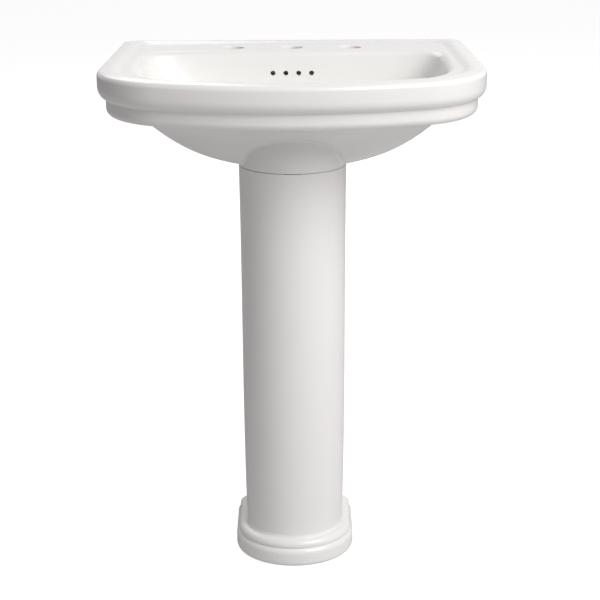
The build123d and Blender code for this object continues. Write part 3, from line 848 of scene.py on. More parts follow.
    def under_line(self, angle: float) -> Loop:
        """The line of the underside in one direction.

        Args:
            angle: direction from the axis.

        Returns:
            The points over the pad's edge, up the neck, out along the underside and into the lip.
        """
        front = self.pad_half * self.pad_bow
        pad = Oval(self.pad_half, front, self.pad_back, 2.0, self.pad_power).reach(angle)
        base = self.seat_z + self.pad_edge
        probe, share = self.neck_room
        soft = min(self.neck_round, share * (self.under_height(angle, pad + probe) - base))
        foot = pad + soft
        spring = self.under_height(angle, foot) - soft
        line = [(pad - self.pad_edge, self.seat_z), (pad, base)]
        # Rings near both ends of the neck keep its shading even.
        line += [(pad, between(base, spring, share)) for share in (0.05, 0.95)]
        for turn in spread(QUARTER, 7):
            line.append((pad + soft * (1 - math.cos(turn)), spring + soft * math.sin(turn)))
        start, width = self.under_cove
        end = self.under_reach(angle, start)
        for share in spread(1.0, 26)[1:]:
            reach = between(foot, end, share)
            line.append((reach, self.under_height(angle, reach)))
        for turn in spread(QUARTER, 6)[1:]:
            level = between(start, 1.0, math.sin(turn))
            reach = self.under_reach(angle, level) + width * (1 - math.cos(turn))
            line.append((reach, between(self.seat_z, self.under_z, level)))
        return [polar(angle, reach, z) for reach, z in line]

    def underside(self) -> list[Loop]:
        """Rings from the drain boss over the pad and up the closed underside to the lip.

        Returns:
            The rings in order.
        """
        hole, boss, low, seat = self.drain_hole, self.boss, self.boss_z, self.seat_z
        profile = [(hole, seat + 4), (hole, low + 1), (hole + 1, low), (boss - 1.5, low), (boss, low + 1.5),
                   (boss, seat - 2), (boss + 2, seat)]
        lines = [self.under_line(angle) for angle in self.angles]
        return [self.circle(*point) for point in profile] + [list(ring) for ring in zip(*lines)]

    def bands(self) -> list[Loop]:
        """Rings from the lip round the two bands, over the rim and down to the deck.

        Returns:
            The rings in order.
        """
        (first, small), (last, large) = self.rear_corners
        top = self.band_z - self.step_gap
        lower = rounded([(self.lip_inset, self.under_z, 0), (self.step, self.under_z, self.lip_round),
                         (self.step, top, self.step_round), (0, top, 0)], 7)
        deep, tall, sweep = self.band_cove
        cove = [math.radians(sweep - turn) for turn in spread(sweep, 10)[1:]]
        lower[-1:] = [(deep * (1 - math.cos(t)), self.band_z + tall * (1 - math.sin(t))) for t in cove]
        rings = [self.plan(inset, 0, z, small) for inset, z in lower]
        inset, crown, soft = self.rim_crown
        rim = rounded([(0, self.band_z, 0), (0, self.rim_z - crown, self.rim_edge),
                       (inset, self.rim_z, soft), (self.rim_width, self.rim_z, 0)], 8)[1:-1]
        middle, width = self.ogee
        for share in spread(1.0, 12):
            rim.append((middle + width * (share - 0.5), between(self.rim_z, self.deck_z, ease(share))))
        end, edge = self.rear_edge
        for inset, z in rim:
            rear = max(0.0, self.rear_rim - self.rim_width + inset)
            fall = max(0.0, z - self.rim_z + edge) if inset < end else edge
            share = min(1.0, max(0.0, (inset - first) / (last - first)))
            rings.append(self.plan(inset, max(rear, fall), z, between(small, large, share)))
        return rings

    def inside(self) -> list[Loop]:
        """Rings from the deck over the mouth and down the bowl to the drain.

        Returns:
            The rings in order.
        """
        deep = self.deck_z - self.floor_z
        rings = []
        for turn in spread(QUARTER, 7)[::-1]:
            drop = self.mouth_round * (1 - math.sin(turn))
            rings.append(self.bowl(1 - drop / deep, self.mouth_round * (1 - math.cos(turn))))
        power = self.bowl_powers[0]
        start = (1 - self.mouth_round / deep) ** (1 / power)
        for share in spread(1.0, 30)[1:]:
            rings.append(self.bowl(between(start, self.bowl_end, share) ** power))
        wall = rings[-1]
        dish = self.circle(self.dish, self.floor_z)
        rise = wall[0].z - self.floor_z
        for share in spread(1.0, 11)[-2:0:-1]:
            z = self.floor_z + between(self.dish_rise, rise, share**2)
            rings.append([Vector((*near.lerp(far, share).xy, z)) for near, far in zip(dish, wall)])
        edge = [(self.dish - 0.4, 0.5), (self.dish - 1, 0)]
        edge += [(self.drain_hole + 1.5, 0), (self.drain_hole, -1.5)]
        return rings + [self.circle(radius, self.floor_z + z) for radius, z in edge]

    def hollow(self) -> BMesh:
        """The open space below the deck behind the bowl.

        Returns:
            The mesh to cut away.
        """
        near, far = self.hollow_y
        low, high = self.hollow_z
        half = self.side(*self.hollow_side)
        outline = [p.xy for p in self.bowl(*self.hollow_wall) if p.y > near]
        outline.sort(key=lambda p: math.atan2(p.x, p.y))
        outline += [(half, near), (half, far), (-half, far), (-half, near)]
        tool = bmesh.new()
        face = tool.faces.new([tool.verts.new((*p, low)) for p in outline])
        up = bmesh.ops.extrude_face_region(tool, geom=[face])["geom"]
        lift = [v for v in up if isinstance(v, bmesh.types.BMVert)]
        bmesh.ops.translate(tool, vec=UP * (high - low), verts=lift)
        return tool

    def holes(self) -> BMesh:
        """Faucet holes with soft edges, overflow holes, wall bolt holes and the drain hole.

        Returns:
            The mesh to cut away.
        """
        tool = bmesh.new()
        radius, soft = self.faucet_hole
        low, high = self.faucet_depth
        wide = radius + soft
        profile = [(0.0, low), (radius, low)]
        profile += [(wide - soft * math.cos(t), soft * (math.sin(t) - 1)) for t in spread(QUARTER, 6)]
        profile += [(wide, high), (0.0, high)]
        for side in (-1, 0, 1):
            place = Matrix.Translation((side * self.faucet_x, self.faucet_y, self.deck_z))
            turned(profile, place, closed=False, into=tool)
        radius, pitch = self.overflow
        for number in range(4):
            rod(radius, (pitch * (number - 1.5), *self.overflow_start), BACK, 40.0, into=tool)
        radius, x, z = self.bolt
        for side in (-1, 1):
            rod(radius, (side * x, self.wall_y - 20, z), BACK, 30.0, into=tool)
        return rod(self.drain_hole, (0, 0, self.boss_z - 9), UP, 60.0, 72, tool)

    def unglazed(self, place: Vector, normal: Vector) -> bool:
        """Whether a face is bare: the level ones down at the joint and those against the wall.

        Args:
            place: the face's middle.
            normal: its normal.

        Returns:
            True for a bare face.
        """
        if normal.z < -FLAT and place.z < self.seat_z + 1:
            return True
        return normal.y > FLAT and place.y > self.wall_y - 1

    def build(self) -> None:
        """Cast the basin, cut its holes and dress it."""
        outline = self.plan(self.rim_width, self.rear_rim, 0, self.rear_corners[1][1])
        self.angles = [math.atan2(p.y, p.x) for p in outline]
        rings = self.underside() + self.bands() + self.inside()
        piece = to_object("basin_casting", loft(rings, close=True))
        outer, inner = self.duct_edges
        combine(piece, self.hollow(), Join.CUT)
        back = box(*self.apron, outer)
        combine(piece, box(*self.duct, outer, back), Join.ADD)
        combine(piece, box(*self.duct_foot, outer), Join.ADD)
        combine(piece, box(*self.duct_hollow, inner), Join.CUT)
        combine(piece, self.holes(), Join.CUT)
        dress(piece, VITREOUS_CHINA, "basin")
        leave_bare(piece, self.unglazed)


# Pedestal


@dataclass
class Pedestal:
    """The hollow column with its moulded foot and open back."""

    top_z: float = SEAT_Z - JOINT_GAP
    top_edge: float = 0.8
    back_y: float = COLUMN_BACK
    bow: float = COLUMN_BOW
    wall: float = 12.0
    slot: float = 54.8
    sections: tuple[Point2, ...] = (
        (33.0, 82.8), (150.0, 85.6), (430.0, 87.4), (SEAT_Z - JOINT_GAP, COLUMN_HALF),
    )  # height and half width
    levels: tuple[float, ...] = (95, 125, 160, 210, 270, 330, 390, 450, 510, 570, 630, 670)  # of rings
    corners: Point3 = (3.0, 12.0, 5.0)  # of the column, the foot and the hollow
    foot_half: float = 102.5
    foot_wall: float = 14.0
    foot_top: float = 60.0
    sole_round: float = 8.0
    block: Point2 = (33.0, 10.5)  # height and round
    crease: Point2 = (97.2, 32.8)  # where the moulding rises from the block
    moulding: Point3 = (98.5, 46.0, 9.5)  # half width, height and round
    fillet: Point2 = (85.4, 51.0)  # half width where it starts and height where it ends
    ledge: Point2 = (97.9, 34.0)  # half width and height where the hollow narrows
    web: Box = ((-92, -24, 0.2), (92, 78, 14))
    screw: Point2 = (5.5, 56.0)  # radius of the floor screw's hole and its place
    pad_line: float = 83.0  # half width of the line that the pads lie on
    pad: Point2 = (4.5, 0.3)  # half width and edge
    pad_front: float = 13.0
    pad_sides: Point2 = (66.0, 92.0)
    pad_top: float = SEAT_Z

    def column(self, z: float) -> float:
        """Half width of the plain column at a height, on a smooth curve through its sections.

        Args:
            z: the height.

        Returns:
            The half width.
        """
        total = 0.0
        for number, (height, half) in enumerate(self.sections):
            weight = half
            for other, (place, _) in enumerate(self.sections):
                if other != number:
                    weight *= (z - place) / (height - place)
            total += weight
        return total

    def outside(self) -> list[Point2]:
        """Half width and height of the outer face, from the floor to the top.

        Returns:
            The points in order.
        """
        high, soft = self.block
        inner = self.foot_half - soft
        block = rounded([(inner, 0, 0), (self.foot_half, 0, self.sole_round), (self.foot_half, high, soft),
                         (inner, high, 0)], 12)
        low = [p for p in block if p[1] < self.crease[1] - 0.7]
        half, high, soft = self.moulding
        start, end = self.fillet
        moulding = rounded([(*self.crease, 0), (half, self.crease[1] + 2.2, 1.5), (half, high, soft),
                            (start, high, 1.4), (self.column(end), end, 2.5), (self.column(70), 70, 0)], 9)
        column = [(self.column(z), z) for z in self.levels]
        half = self.sections[-1][1]
        last = self.top_z - 4.2
        edge = rounded([(self.column(last), last, 0), (half, self.top_z, self.top_edge),
                        (half - 3, self.top_z, 0)], 4)
        return low + moulding + column + edge

    def inner(self, z: float) -> float:
        """Half width of the hollow at a height."""
        return self.foot_half - self.foot_wall if z < self.ledge[1] else self.column(z) - self.wall

    def ring(self, half: float, hollow: float, z: float) -> Loop:
        """The C-shaped section of the shell at one height.

        Args:
            half: half width outside.
            hollow: half width inside.
            z: height.

        Returns:
            A ring of points round the outside and back along the inside.
        """
        column, foot, inside = self.corners
        outer = self.horseshoe(half, self.back_y, column if z > self.foot_top else foot)
        inner = self.horseshoe(hollow, self.back_y - self.wall, inside)
        return [Vector((x, y, z)) for x, y in outer + inner[::-1]]

    def horseshoe(self, half: float, back: float, corner: float) -> list[Point2]:
        """The round front and straight sides, from the right back lip to the left one.

        Args:
            half: half width.
            back: where the lips are.
            corner: radius of the two back corners.

        Returns:
            The points in order.
        """
        flat, end = half - corner, back - corner
        right = [(self.slot, back), ((self.slot + flat) / 2, back)]
        right += [(flat + corner * math.sin(t), end + corner * math.cos(t)) for t in spread(QUARTER, 5)]
        right += [(half, end * (1 - share)) for share in spread(1.0, 14)[1:-1]]
        front = [(half * math.cos(t), -half * self.bow * math.sin(t)) for t in spread(math.pi, 80)]
        return right + front + [(-x, y) for x, y in right[::-1]]

    def unglazed(self, place: Vector, normal: Vector) -> bool:
        """Whether a face is bare: the sole and the top that the basin sits on."""
        return abs(normal.z) > FLAT and (place.z < 1 or place.z > self.top_z - 1)

    def build(self) -> None:
        """Cast the pedestal and dress it, with its pads."""
        wide, ledge = self.ledge
        rings: list[Loop] = []
        previous = 0.0
        for half, z in self.outside():
            if previous < ledge <= z:
                rings += [self.ring(wide, self.inner(level), ledge) for level in (previous, ledge)]
            rings.append(self.ring(half, self.inner(z), z))
            previous = z
        piece = to_object("pedestal_casting", loft(rings, cap=True))
        combine(piece, box(*self.web, 2.5), Join.ADD)
        radius, y = self.screw
        combine(piece, rod(radius, (0, y, -4), UP, 30.0), Join.CUT)
        dress(piece, VITREOUS_CHINA, "pedestal")
        leave_bare(piece, self.unglazed)
        self.pads()

    def pads(self) -> None:
        """The rubber pads in the joint."""
        bm = bmesh.new()
        wide, edge = self.pad
        front = -self.pad_line * self.bow
        near, far = self.pad_sides
        spans = [(-self.pad_front, self.pad_front, front - wide, front + wide)]
        spans += [(side * self.pad_line - wide, side * self.pad_line + wide, near, far) for side in (-1, 1)]
        for left, right, first, last in spans:
            box((left, first, self.top_z), (right, last, self.pad_top), edge, bm)
        dress(to_object("seat_pads_rubber", bm), BLACK_RUBBER, "seat_pads")


# Drain


@dataclass
class Drain:
    """The drain: a threaded body with its flange, its seals and nut, and the guide of the stopper."""

    floor_z: float = FLOOR_Z
    boss_z: float = BOSS_Z
    fit: float = FIT
    seal: Point3 = (DRAIN_HOLE, 29.0, FLANGE_SEAL)  # bore, radius and thickness of the ring under the flange
    flange: Point2 = (31.5, FLANGE)  # radius and thickness
    flange_fall: Point2 = (24.0, 1.1)  # radius where the flange starts to fall, and how far
    radius: float = 19.5
    bore: float = 16.5
    length: float = 92.0
    coupling: Point2 = (17.5, 15.5)  # radius and depth of the socket for the tailpiece
    screw: Point2 = (2.3, 1.0)  # pitch and depth of the thread
    port: Point3 = (11.0, 9.0, 681.0)  # width, height and middle of the overflow ports
    bar: Point2 = (4.0, 7.0)  # width and height of the cross bars
    spider_drop: float = 50.0
    hub: float = 8.5
    guide: float = 5.5
    gasket: Point3 = (30.0, 24.0, 15.0)  # radius at the top and bottom, and height
    slip_ring: Point2 = (27.0, 2.0)  # radius and thickness
    locknut: Point3 = (52.0, 12.0, 25.3)  # width across flats, thickness and radius of its faces
    bush_bore: float = 3.57
    bush_head: Point2 = (7.5, 5.0)  # radius and height
    bush_length: float = 18.0
    bush_groove: Point2 = (5.8, 2.6)  # radius and depth of the seat of the friction ring

    def seat(self) -> float:
        """Height of the lower face of the flange."""
        return self.floor_z + self.seal[2]

    def body(self) -> None:
        """Turn the body, cut the overflow ports and set the cross bars in it."""
        seat = self.seat()
        wide, thick = self.flange
        flat, fall = self.flange_fall
        top = seat + thick
        end = seat - self.length
        socket, deep = self.coupling
        step = end + deep
        pitch, cut = self.screw
        line = rounded([(socket, end, 0), (socket, step, 0.3), (self.bore, step + 0.6, 0.3),
                        (self.bore, top, 1.4), (flat, top, 5.0), (wide, top - fall, 0.9), (wide, seat, 0.4),
                        (self.radius, seat, 0.5), (self.radius, self.boss_z + 2, 0)], 5)
        line += thread(self.radius, end + 1.2, self.boss_z + 1, pitch, cut)[::-1]
        piece = to_object("drain_body_chrome", turned(line + [(self.radius - cut, end)]))
        across, high, middle = self.port
        reach = self.radius + 5.5
        ports = box((-across / 2, -reach, middle - high / 2), (across / 2, reach, middle + high / 2), 2.0)
        combine(piece, ports, Join.CUT)
        level = seat - self.spider_drop
        low = level - self.bar[1]
        reach = self.bore + 1.5
        half = self.bar[0] / 2
        for x, y in ((reach, half), (half, reach)):
            combine(piece, box((-x, -y, low), (x, y, level), 0.7), Join.ADD)
        hub = rounded([(0, low, 0), (self.hub, low, 0.8), (self.hub, level, 0.8), (0, level, 0)], 4)
        combine(piece, turned(hub, closed=False), Join.ADD)
        combine(piece, rod(self.guide + self.fit, (0, 0, level - 12), UP, 20.0, 72), Join.CUT)
        dress(piece, CHROME, "drain_body")

    def seals(self) -> None:
        """The flange seal, the tapered gasket, its washer and the locknut."""
        bore, radius, _ = self.seal
        ring = washer(bore, radius, self.floor_z, self.seat(), 0.5)
        dress(to_object("flange_seal_ring", ring), WHITE_RUBBER, "flange_seal")
        hole = self.radius + self.fit
        wide, narrow, high = self.gasket
        top, low = self.boss_z, self.boss_z - high
        cone = rounded([(hole, low + 5, 0), (hole, top, 0.5), (wide, top, 1.2), (wide - 0.6, top - 2, 0.8),
                        (narrow, low, 1.5), (hole, low, 0.5), (hole, low + 4, 0)], 5)
        dress(to_object("drain_gasket_cone", turned(cone)), BLACK_RUBBER, "drain_gasket")
        radius, thick = self.slip_ring
        top = low - thick
        dress(to_object("drain_washer_flat", washer(hole, radius, top, low, 0.4)), NYLON, "drain_washer")
        flats, thick, face = self.locknut
        low = top - thick
        bore = [(hole + 1, top), (hole, top - 1), (hole, low + 1), (hole + 1, low)]
        made = nut(six_sided(flats), low, top, face, 1.7, bore)
        dress(to_object("drain_locknut_hex", made), BRASS, "drain_locknut", sharp=24.0)

    def bush(self) -> None:
        """The flanged bush that guides the stem, with its friction ring."""
        bore = self.bush_bore
        radius, high = self.bush_head
        groove, deep = self.bush_groove
        level = self.seat() - self.spider_drop
        top, end = level + high, level - self.bush_length
        seat = top - deep
        line = rounded([(bore, level, 0), (bore, seat, 0.1), (groove, seat, 0.1), (groove, top, 0.3),
                        (radius, top, 0.7), (radius, level, 0.3), (self.guide, level, 0.2),
                        (self.guide, end, 0.9), (bore, end, 0.4), (bore, level - 1, 0)], 4)
        dress(to_object("stem_guide_bush", turned(line)), NYLON, "stem_guide")
        ring = washer(bore, groove - self.fit, seat, top, 1.0)
        dress(to_object("stem_ring_rubber", ring), BLACK_RUBBER, "stem_ring")

    def build(self) -> None:
        """Make the drain's pieces."""
        self.body()
        self.seals()
        self.bush()


# Stopper


@dataclass
class Stopper:
    """The stopper that lifts out of the drain: cap, seal, stem and clip."""

    seat_z: float = FLOOR_Z + FLANGE_SEAL + FLANGE
    seal: Point3 = (7.0, 22.0, 2.0)  # bore, radius and thickness
    cap: float = 24.0
    edge: float = 1.8
    slope: Point2 = (3.0, 1.2)  # width and height of the slope inside the cap's edge
    dome: float = 4.5
    root: Point2 = (6.0, 0.4)  # radius where the knob's neck rises from the dome, and its drop
    knob: float = 7.5
    neck: float = 4.0
    knob_height: float = 13.0
    stem: float = 3.5
    socket: float = 5.0
    fit: float = FIT
    clip: Point2 = (6.5, 1.5)  # radius and thickness
    clip_top: float = 626.0
    stem_end: float = 4.5  # how far the stem goes on below the clip's top
    split: Point3 = (1.8, 2.0, 9.0)  # half width of the clip's gap, and where it starts and ends

    def cap_line(self) -> list[Point2]:
        """The cap's profile, from the end of its socket round the edge to the top of the knob.

        Returns:
            Radius and height of each point.
        """
        base = self.seat_z + self.seal[2]
        rim = base + self.edge
        top = rim + self.knob_height
        hole = self.stem + self.fit
        wide, high = self.slope
        root, drop = self.root
        inner = self.cap - wide
        crest = rim + self.dome
        deep = base + self.socket
        line = [(0.0, deep), (hole, deep), (hole, base + 0.3), (hole + 0.3, base)]
        line += rounded([(root, base, 0), (self.cap, base, 0.5), (self.cap, rim, 0.9),
                         (inner, rim + high, 0)], 5)
        for share in spread(1.0, 9)[1:-1]:
            rise = (self.dome - drop - high) * math.sin(share * QUARTER)
            line.append((between(inner, root, share), rim + high + rise))
        neck, knob = self.neck, self.knob
        return line + rounded([(root, crest - drop, 0), (neck, crest, 1.2), (neck, top - knob + 0.6, 1.4),
                               (knob, top - knob / 2 - 0.6, 1.6), (knob - 0.2, top - 1.4, 1.6),
                               (neck, top - 0.1, 2.0), (0.0, top, 0)], 5)

    def build(self) -> None:
        """Make the stopper's pieces."""
        cap = to_object("stopper_cap_knob", turned(self.cap_line(), closed=False))
        dress(cap, CHROME, "stopper_cap", Body.STOPPER)
        bore, radius, thick = self.seal
        base = self.seat_z + thick
        seal = to_object("stopper_seal_disc", washer(bore, radius, self.seat_z, base, 0.7))
        dress(seal, BLACK_RUBBER, "stopper_seal", Body.STOPPER)
        low, high = self.clip_top - self.stem_end, base + self.socket
        line = rounded([(0.0, low, 0), (self.stem, low, 0.8), (self.stem, high, 0.5), (0.0, high, 0)], 4)
        stem = to_object("stopper_stem_rod", turned(line, steps=40, closed=False))
        dress(stem, STEEL, "stopper_stem", Body.STOPPER)
        radius, thick = self.clip
        top = self.clip_top
        clip = to_object("stem_clip_split", washer(self.stem, radius, top - thick, top, 0.3))
        half, near, far = self.split
        combine(clip, box((-half, near, top - 4), (half, far, top + 3), 0.3), Join.CUT)
        dress(clip, STEEL, "stem_clip", Body.STOPPER)


# Trap


@dataclass
class Trap:
    """The waste: tailpiece, U bend with its slip nuts and cleanout, and the arm to the wall."""

    top_z: float = 500.0
    leg: float = 34.0
    bend: float = 32.0
    tube: float = 15.875
    tube_bore: float = 14.675
    shell: Point2 = (17.775, 16.275)  # radius of the bend outside and inside
    collar: Point2 = (20.5, 20.0)  # radius and length of its threaded ends
    collar_screw: Point2 = (2.2, 0.7)  # pitch and depth of their thread
    tail_z: Point3 = (472.0, 612.5, 626.5)  # the tailpiece's end, the start of its coupling and its top
    tail_screw: Point3 = (17.4, 2.0, 0.8)  # radius, pitch and depth of its thread
    tail_seal: float = 1.5
    arm: Point2 = (44.0, 42.0)  # length of the arm's leg and radius of its bend
    arm_z: float = 558.0
    wall_y: float = WALL_Y
    spigot: Point2 = (15.5, 38.0)  # radius and length of the arm's end in the wall
    cleanout: Point3 = (12.0, 7.5, 409.2)  # radius, bore and lower face of its boss
    cleanout_high: float = 12.0
    plug_head: Point3 = (19.0, 7.0, 9.0)  # width across flats, thickness and radius of its faces
    plug_length: float = 10.0
    plug_screw: Point2 = (1.6, 0.7)
    plug_washer: float = 2.0
    slip_nut: Point3 = (24.0, 22.3, 3.0)  # height, radius of its faces and thickness of its top
    slip_ribs: tuple[float, float, int, float, float] = (23.5, 2.5, 8, 7.0, 1.6)
    slip_rise: float = 8.0
    slip_gap: float = 0.4
    fit: float = FIT

    def tailpiece(self) -> None:
        """The straight tube below the drain, with its threaded coupling and the seal above it."""
        low, mid, top = self.tail_z
        radius, pitch, cut = self.tail_screw
        bore = self.tube_bore
        line = rounded([(bore, low + 20, 0), (bore, top, 0.3), (radius - 1, top, 0.2)], 3)
        line += thread(radius, mid + 0.8, top - 0.4, pitch, cut)[::-1]
        line += rounded([(self.tube, mid, 0), (self.tube, low, 0.5), (bore, low, 0.4),
                         (bore, low + 15, 0)], 3)
        dress(to_object("tailpiece_tube", turned(line)), CHROME, "tailpiece")
        seal = washer(bore, radius, top, top + self.tail_seal, 0.4)
        dress(to_object("tailpiece_seal_ring", seal), BLACK_RUBBER, "tailpiece_seal")

    def u_bend(self) -> None:
        """The U bend with a threaded collar on each leg and the boss of the cleanout."""
        total = 2 * self.leg + math.pi * self.bend
        wide, deep = self.collar
        outer, inner = self.shell
        end = [(0.0, wide - 0.9)]
        end += [(z, r) for r, z in thread(wide - self.fit, 0.6, deep - 3.0, *self.collar_screw)]
        end += [(deep - 2.6, wide), (deep - 0.6, wide), (deep, wide - 0.5), (deep + 0.5, outer)]
        runs = [deep + 4 + run for run in spread(total - 2 * deep - 8, 48)]
        walls = end + [(run, outer) for run in runs] + [(total - run, radius) for run, radius in end[::-1]]
        walls += [(total, inner + 0.8), (total - 1.2, inner)] + [(run, inner) for run in runs[::-1]]
        walls += [(1.2, inner), (0.0, inner + 0.8)]
        bend = BentTube(Vector((0, 0, self.top_z)), -UP, BACK, self.leg, self.bend, math.pi)
        piece = to_object("trap_bend_pipe", bend.skin(walls))
        radius, bore, low = self.cleanout
        high = low + self.cleanout_high
        boss = rounded([(0, low, 0), (radius, low, 0.8), (radius, high, 0), (0, high, 0)], 4)
        combine(piece, turned(boss, Matrix.Translation(BACK * self.bend), closed=False), Join.ADD)
        combine(piece, rod(bore, (0, self.bend, low - 5), UP, 26.0, 48), Join.CUT)
        dress(piece, CHROME, "trap_bend")

    def plug(self) -> None:
        """The cleanout plug and its washer."""
        radius, bore, low = self.cleanout
        place = Matrix.Translation(BACK * self.bend)
        face = low - self.plug_washer
        end = face + self.plug_length
        shank = [(bore - 0.9, face + 0.3)]
        shank += thread(bore - self.fit, face + 0.6, end - 0.6, *self.plug_screw) + [(bore - 1.6, end)]
        flats, thick, flat = self.plug_head
        made = nut(six_sided(flats), face - thick, face, flat, 1.7, shank, place, cap=True)
        dress(to_object("cleanout_plug_hex", made), CHROME, "cleanout_plug", sharp=24.0)
        ring = washer(bore, radius, face, low, 0.5, place)
        dress(to_object("cleanout_washer_ring", ring), BLACK_RUBBER, "cleanout_washer")

    def slip_joint(self, name: str, y: float) -> None:
        """A ribbed slip nut and the washer that it squeezes.

        Args:
            name: which joint it is.
            y: distance of its axis behind the drain.
        """
        place = Matrix.Translation(BACK * y)
        high, face, thick = self.slip_nut
        top = self.top_z + self.slip_rise
        low, seat = top - high, top - thick
        hole = self.tube + self.slip_gap
        wide = self.collar[0] + self.fit
        bore = [(hole + 0.6, top), (hole, top - 0.6), (hole, seat), (wide, seat), (wide, low + 0.6),
                (wide + 0.6, low)]
        made = nut(ribbed(*self.slip_ribs), low, top, face, 1.2, bore, place)
        dress(to_object(f"trap_{name}_nut_ribbed", made), CHROME, f"trap_{name}_nut", sharp=40.0)
        ring = washer(self.tube + self.fit, self.collar[0] - self.fit, self.top_z, seat, 0.6, place)
        dress(to_object(f"trap_{name}_washer_ring", ring), BLACK_RUBBER, f"trap_{name}_washer")

    def wall_arm(self) -> None:
        """The bent tube to the wall."""
        leg, radius = self.arm
        start = Vector((0, 2 * self.bend, self.arm_z - radius - leg))
        wall = leg + radius * QUARTER + self.wall_y - 2 * self.bend - radius
        thin, length = self.spigot
        total = wall + length
        bore = self.tube_bore
        runs = [2 + run for run in spread(wall - 4, 40)]
        walls = [(0.0, self.tube - 0.3)] + [(run, self.tube) for run in [*runs, wall]]
        walls += [(wall + 0.4, thin), (total - 0.5, thin), (total, thin - 0.4), (total, bore + 0.2)]
        walls += [(run, bore) for run in [total - 1, *runs[::-1]]] + [(0.0, bore + 0.2)]
        arm = BentTube(start, UP, BACK, leg, radius, QUARTER)
        dress(to_object("trap_arm_tube", arm.skin(walls)), CHROME, "trap_arm")

    def cover(self) -> None:
        """The pressed plate that covers the hole in the wall."""
        hole = self.tube + self.fit
        line = rounded([(35.5, 0, 0), (38.0, 0, 0.4), (38.0, 1.5, 0.7), (30.0, 3.6, 9.0), (24.4, 9.0, 5.0),
                        (23.0, 12.0, 1.6), (hole, 12.0, 0.5), (hole, 10.6, 0.3), (21.4, 10.6, 0.8),
                        (23.0, 8.0, 3.0), (29.4, 2.2, 7.0), (35.5, 0.7, 0)], 5)
        place = Matrix.Translation((0, self.wall_y, self.arm_z)) @ Matrix.Rotation(QUARTER, 4, "X")
        dress(to_object("wall_escutcheon_plate", turned(line, place)), CHROME, "wall_escutcheon")

    def build(self) -> None:
        """Make the waste's pieces."""
        self.tailpiece()
        self.u_bend()
        self.plug()
        self.slip_joint("inlet", 0.0)
        self.slip_joint("outlet", 2 * self.bend)
        self.wall_arm()
        self.cover()


# Studio


@dataclass(frozen=True)
class Lamp:
    """A square soft lamp that looks at the sink."""

    name: str
    place: Point3
    size: float  # side in metres
    power: float  # watts

    def build(self, target: Point3) -> None:
        """Hang the lamp.

        Args:
            target: the point that it looks at.
        """
        data = bpy.data.lights.new(self.name, "AREA")
        data.size = self.size
        data.energy = self.power
        made = bpy.data.objects.new(self.name, data)
        made.location = self.place
        made.rotation_mode = "QUATERNION"
        made.rotation_quaternion = (Vector(target) - Vector(self.place)).to_track_quat("-Z", "Y")
        bpy.context.scene.collection.objects.link(made)


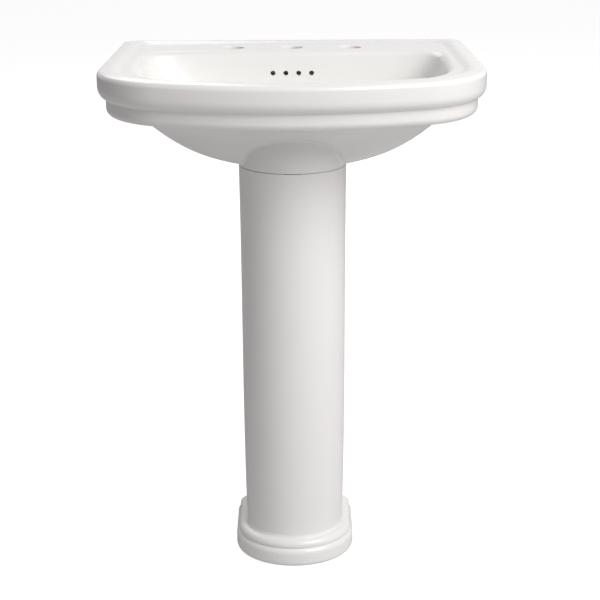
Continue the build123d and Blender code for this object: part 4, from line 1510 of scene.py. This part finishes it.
@dataclass
class Studio:
    """Floor, lights and camera."""

    focal_px: float = 1616.0
    picture_px: float = 600.0
    sensor: float = 36.0
    pitch: float = 17.27
    roll: float = 0.3
    place: Point3 = (0.0112, -2.62, 1.266)
    floor_colour: str = "#D8D8D8"
    floor_half: float = 20000.0
    floor_glow: float = 0.79
    fill: float = 0.245
    fill_colour: tuple[float, float, float, float] = (1, 0.94, 0.99, 1)
    white: tuple[float, float, float, float] = (1, 1, 1, 1)
    target: Point3 = (0, 0, 0.55)
    lamps: tuple[Lamp, ...] = (
        Lamp("key", (2.1, -2.2, 3.1), 2.6, 137.0),
        Lamp("back", (-1.2, 3.0, 3.2), 2.0, 28.0),
    )

    def camera(self) -> None:
        """Stand the camera where the photograph was taken."""
        data = bpy.data.cameras.new("camera")
        data.sensor_width = self.sensor
        data.lens = self.focal_px * self.sensor / self.picture_px
        made = bpy.data.objects.new("camera", data)
        tilt = Matrix.Rotation(math.radians(90 - self.pitch), 4, "X")
        turn = Matrix.Rotation(math.radians(-self.roll), 4, "Z")
        made.matrix_world = Matrix.Translation(self.place) @ tilt @ turn
        bpy.context.scene.collection.objects.link(made)
        bpy.context.scene.camera = made

    def floor(self) -> None:
        """A plain pale floor that keeps the shadow."""
        bm = bmesh.new()
        bmesh.ops.create_grid(bm, x_segments=1, y_segments=1, size=self.floor_half)
        made = to_object("floor", bm)
        paint = bpy.data.materials.new("floor_pale_paint")
        paint.use_nodes = True
        tree = paint.node_tree
        tree.nodes.clear()
        values = {"Base Color": linear(self.floor_colour), "Roughness": 0.9, "Specular IOR Level": 0.0}
        shader = add_node(tree, "ShaderNodeBsdfPrincipled", values)
        seen = add_node(tree, "ShaderNodeLightPath").outputs["Is Camera Ray"]
        glow = add_node(tree, "ShaderNodeMath", {"operation": "MULTIPLY", 1: self.floor_glow}, {0: seen})
        light = add_node(tree, "ShaderNodeEmission", {"Color": self.white}, {"Strength": glow.outputs[0]})
        both = add_node(tree, "ShaderNodeAddShader", feeds={0: shader.outputs[0], 1: light.outputs[0]})
        add_node(tree, "ShaderNodeOutputMaterial", feeds={"Surface": both.outputs[0]})
        made.data.materials.append(paint)

    def world(self) -> None:
        """White to the eye and in reflections, and a soft grey fill light."""
        made = bpy.data.worlds.new("studio")
        bpy.context.scene.world = made
        made.use_nodes = True
        tree = made.node_tree
        tree.nodes.clear()
        rays = add_node(tree, "ShaderNodeLightPath").outputs
        seen = rays["Is Camera Ray"]
        for kind in ("Is Glossy Ray", "Is Transmission Ray"):
            either = add_node(tree, "ShaderNodeMath", {"operation": "MAXIMUM"}, {0: seen, 1: rays[kind]})
            seen = either.outputs[0]
        fill = add_node(tree, "ShaderNodeBackground", {"Color": self.fill_colour, "Strength": self.fill})
        white = add_node(tree, "ShaderNodeBackground", {"Color": self.white, "Strength": 1.0})
        both = {0: seen, 1: fill.outputs[0], 2: white.outputs[0]}
        mix = add_node(tree, "ShaderNodeMixShader", feeds=both)
        add_node(tree, "ShaderNodeOutputWorld", feeds={"Surface": mix.outputs[0]})

    def build(self) -> None:
        """Set up the studio."""
        self.floor()
        self.world()
        for lamp in self.lamps:
            lamp.build(self.target)
        self.camera()
        bpy.context.scene.view_settings.view_transform = "Standard"


def main() -> None:
    """Build every piece in order."""
    logging.basicConfig(level=logging.INFO, format="%(name)s %(message)s")
    for part in (Basin(), Pedestal(), Drain(), Stopper(), Trap(), Studio()):
        part.build()


if __name__ == "__main__":
    main()
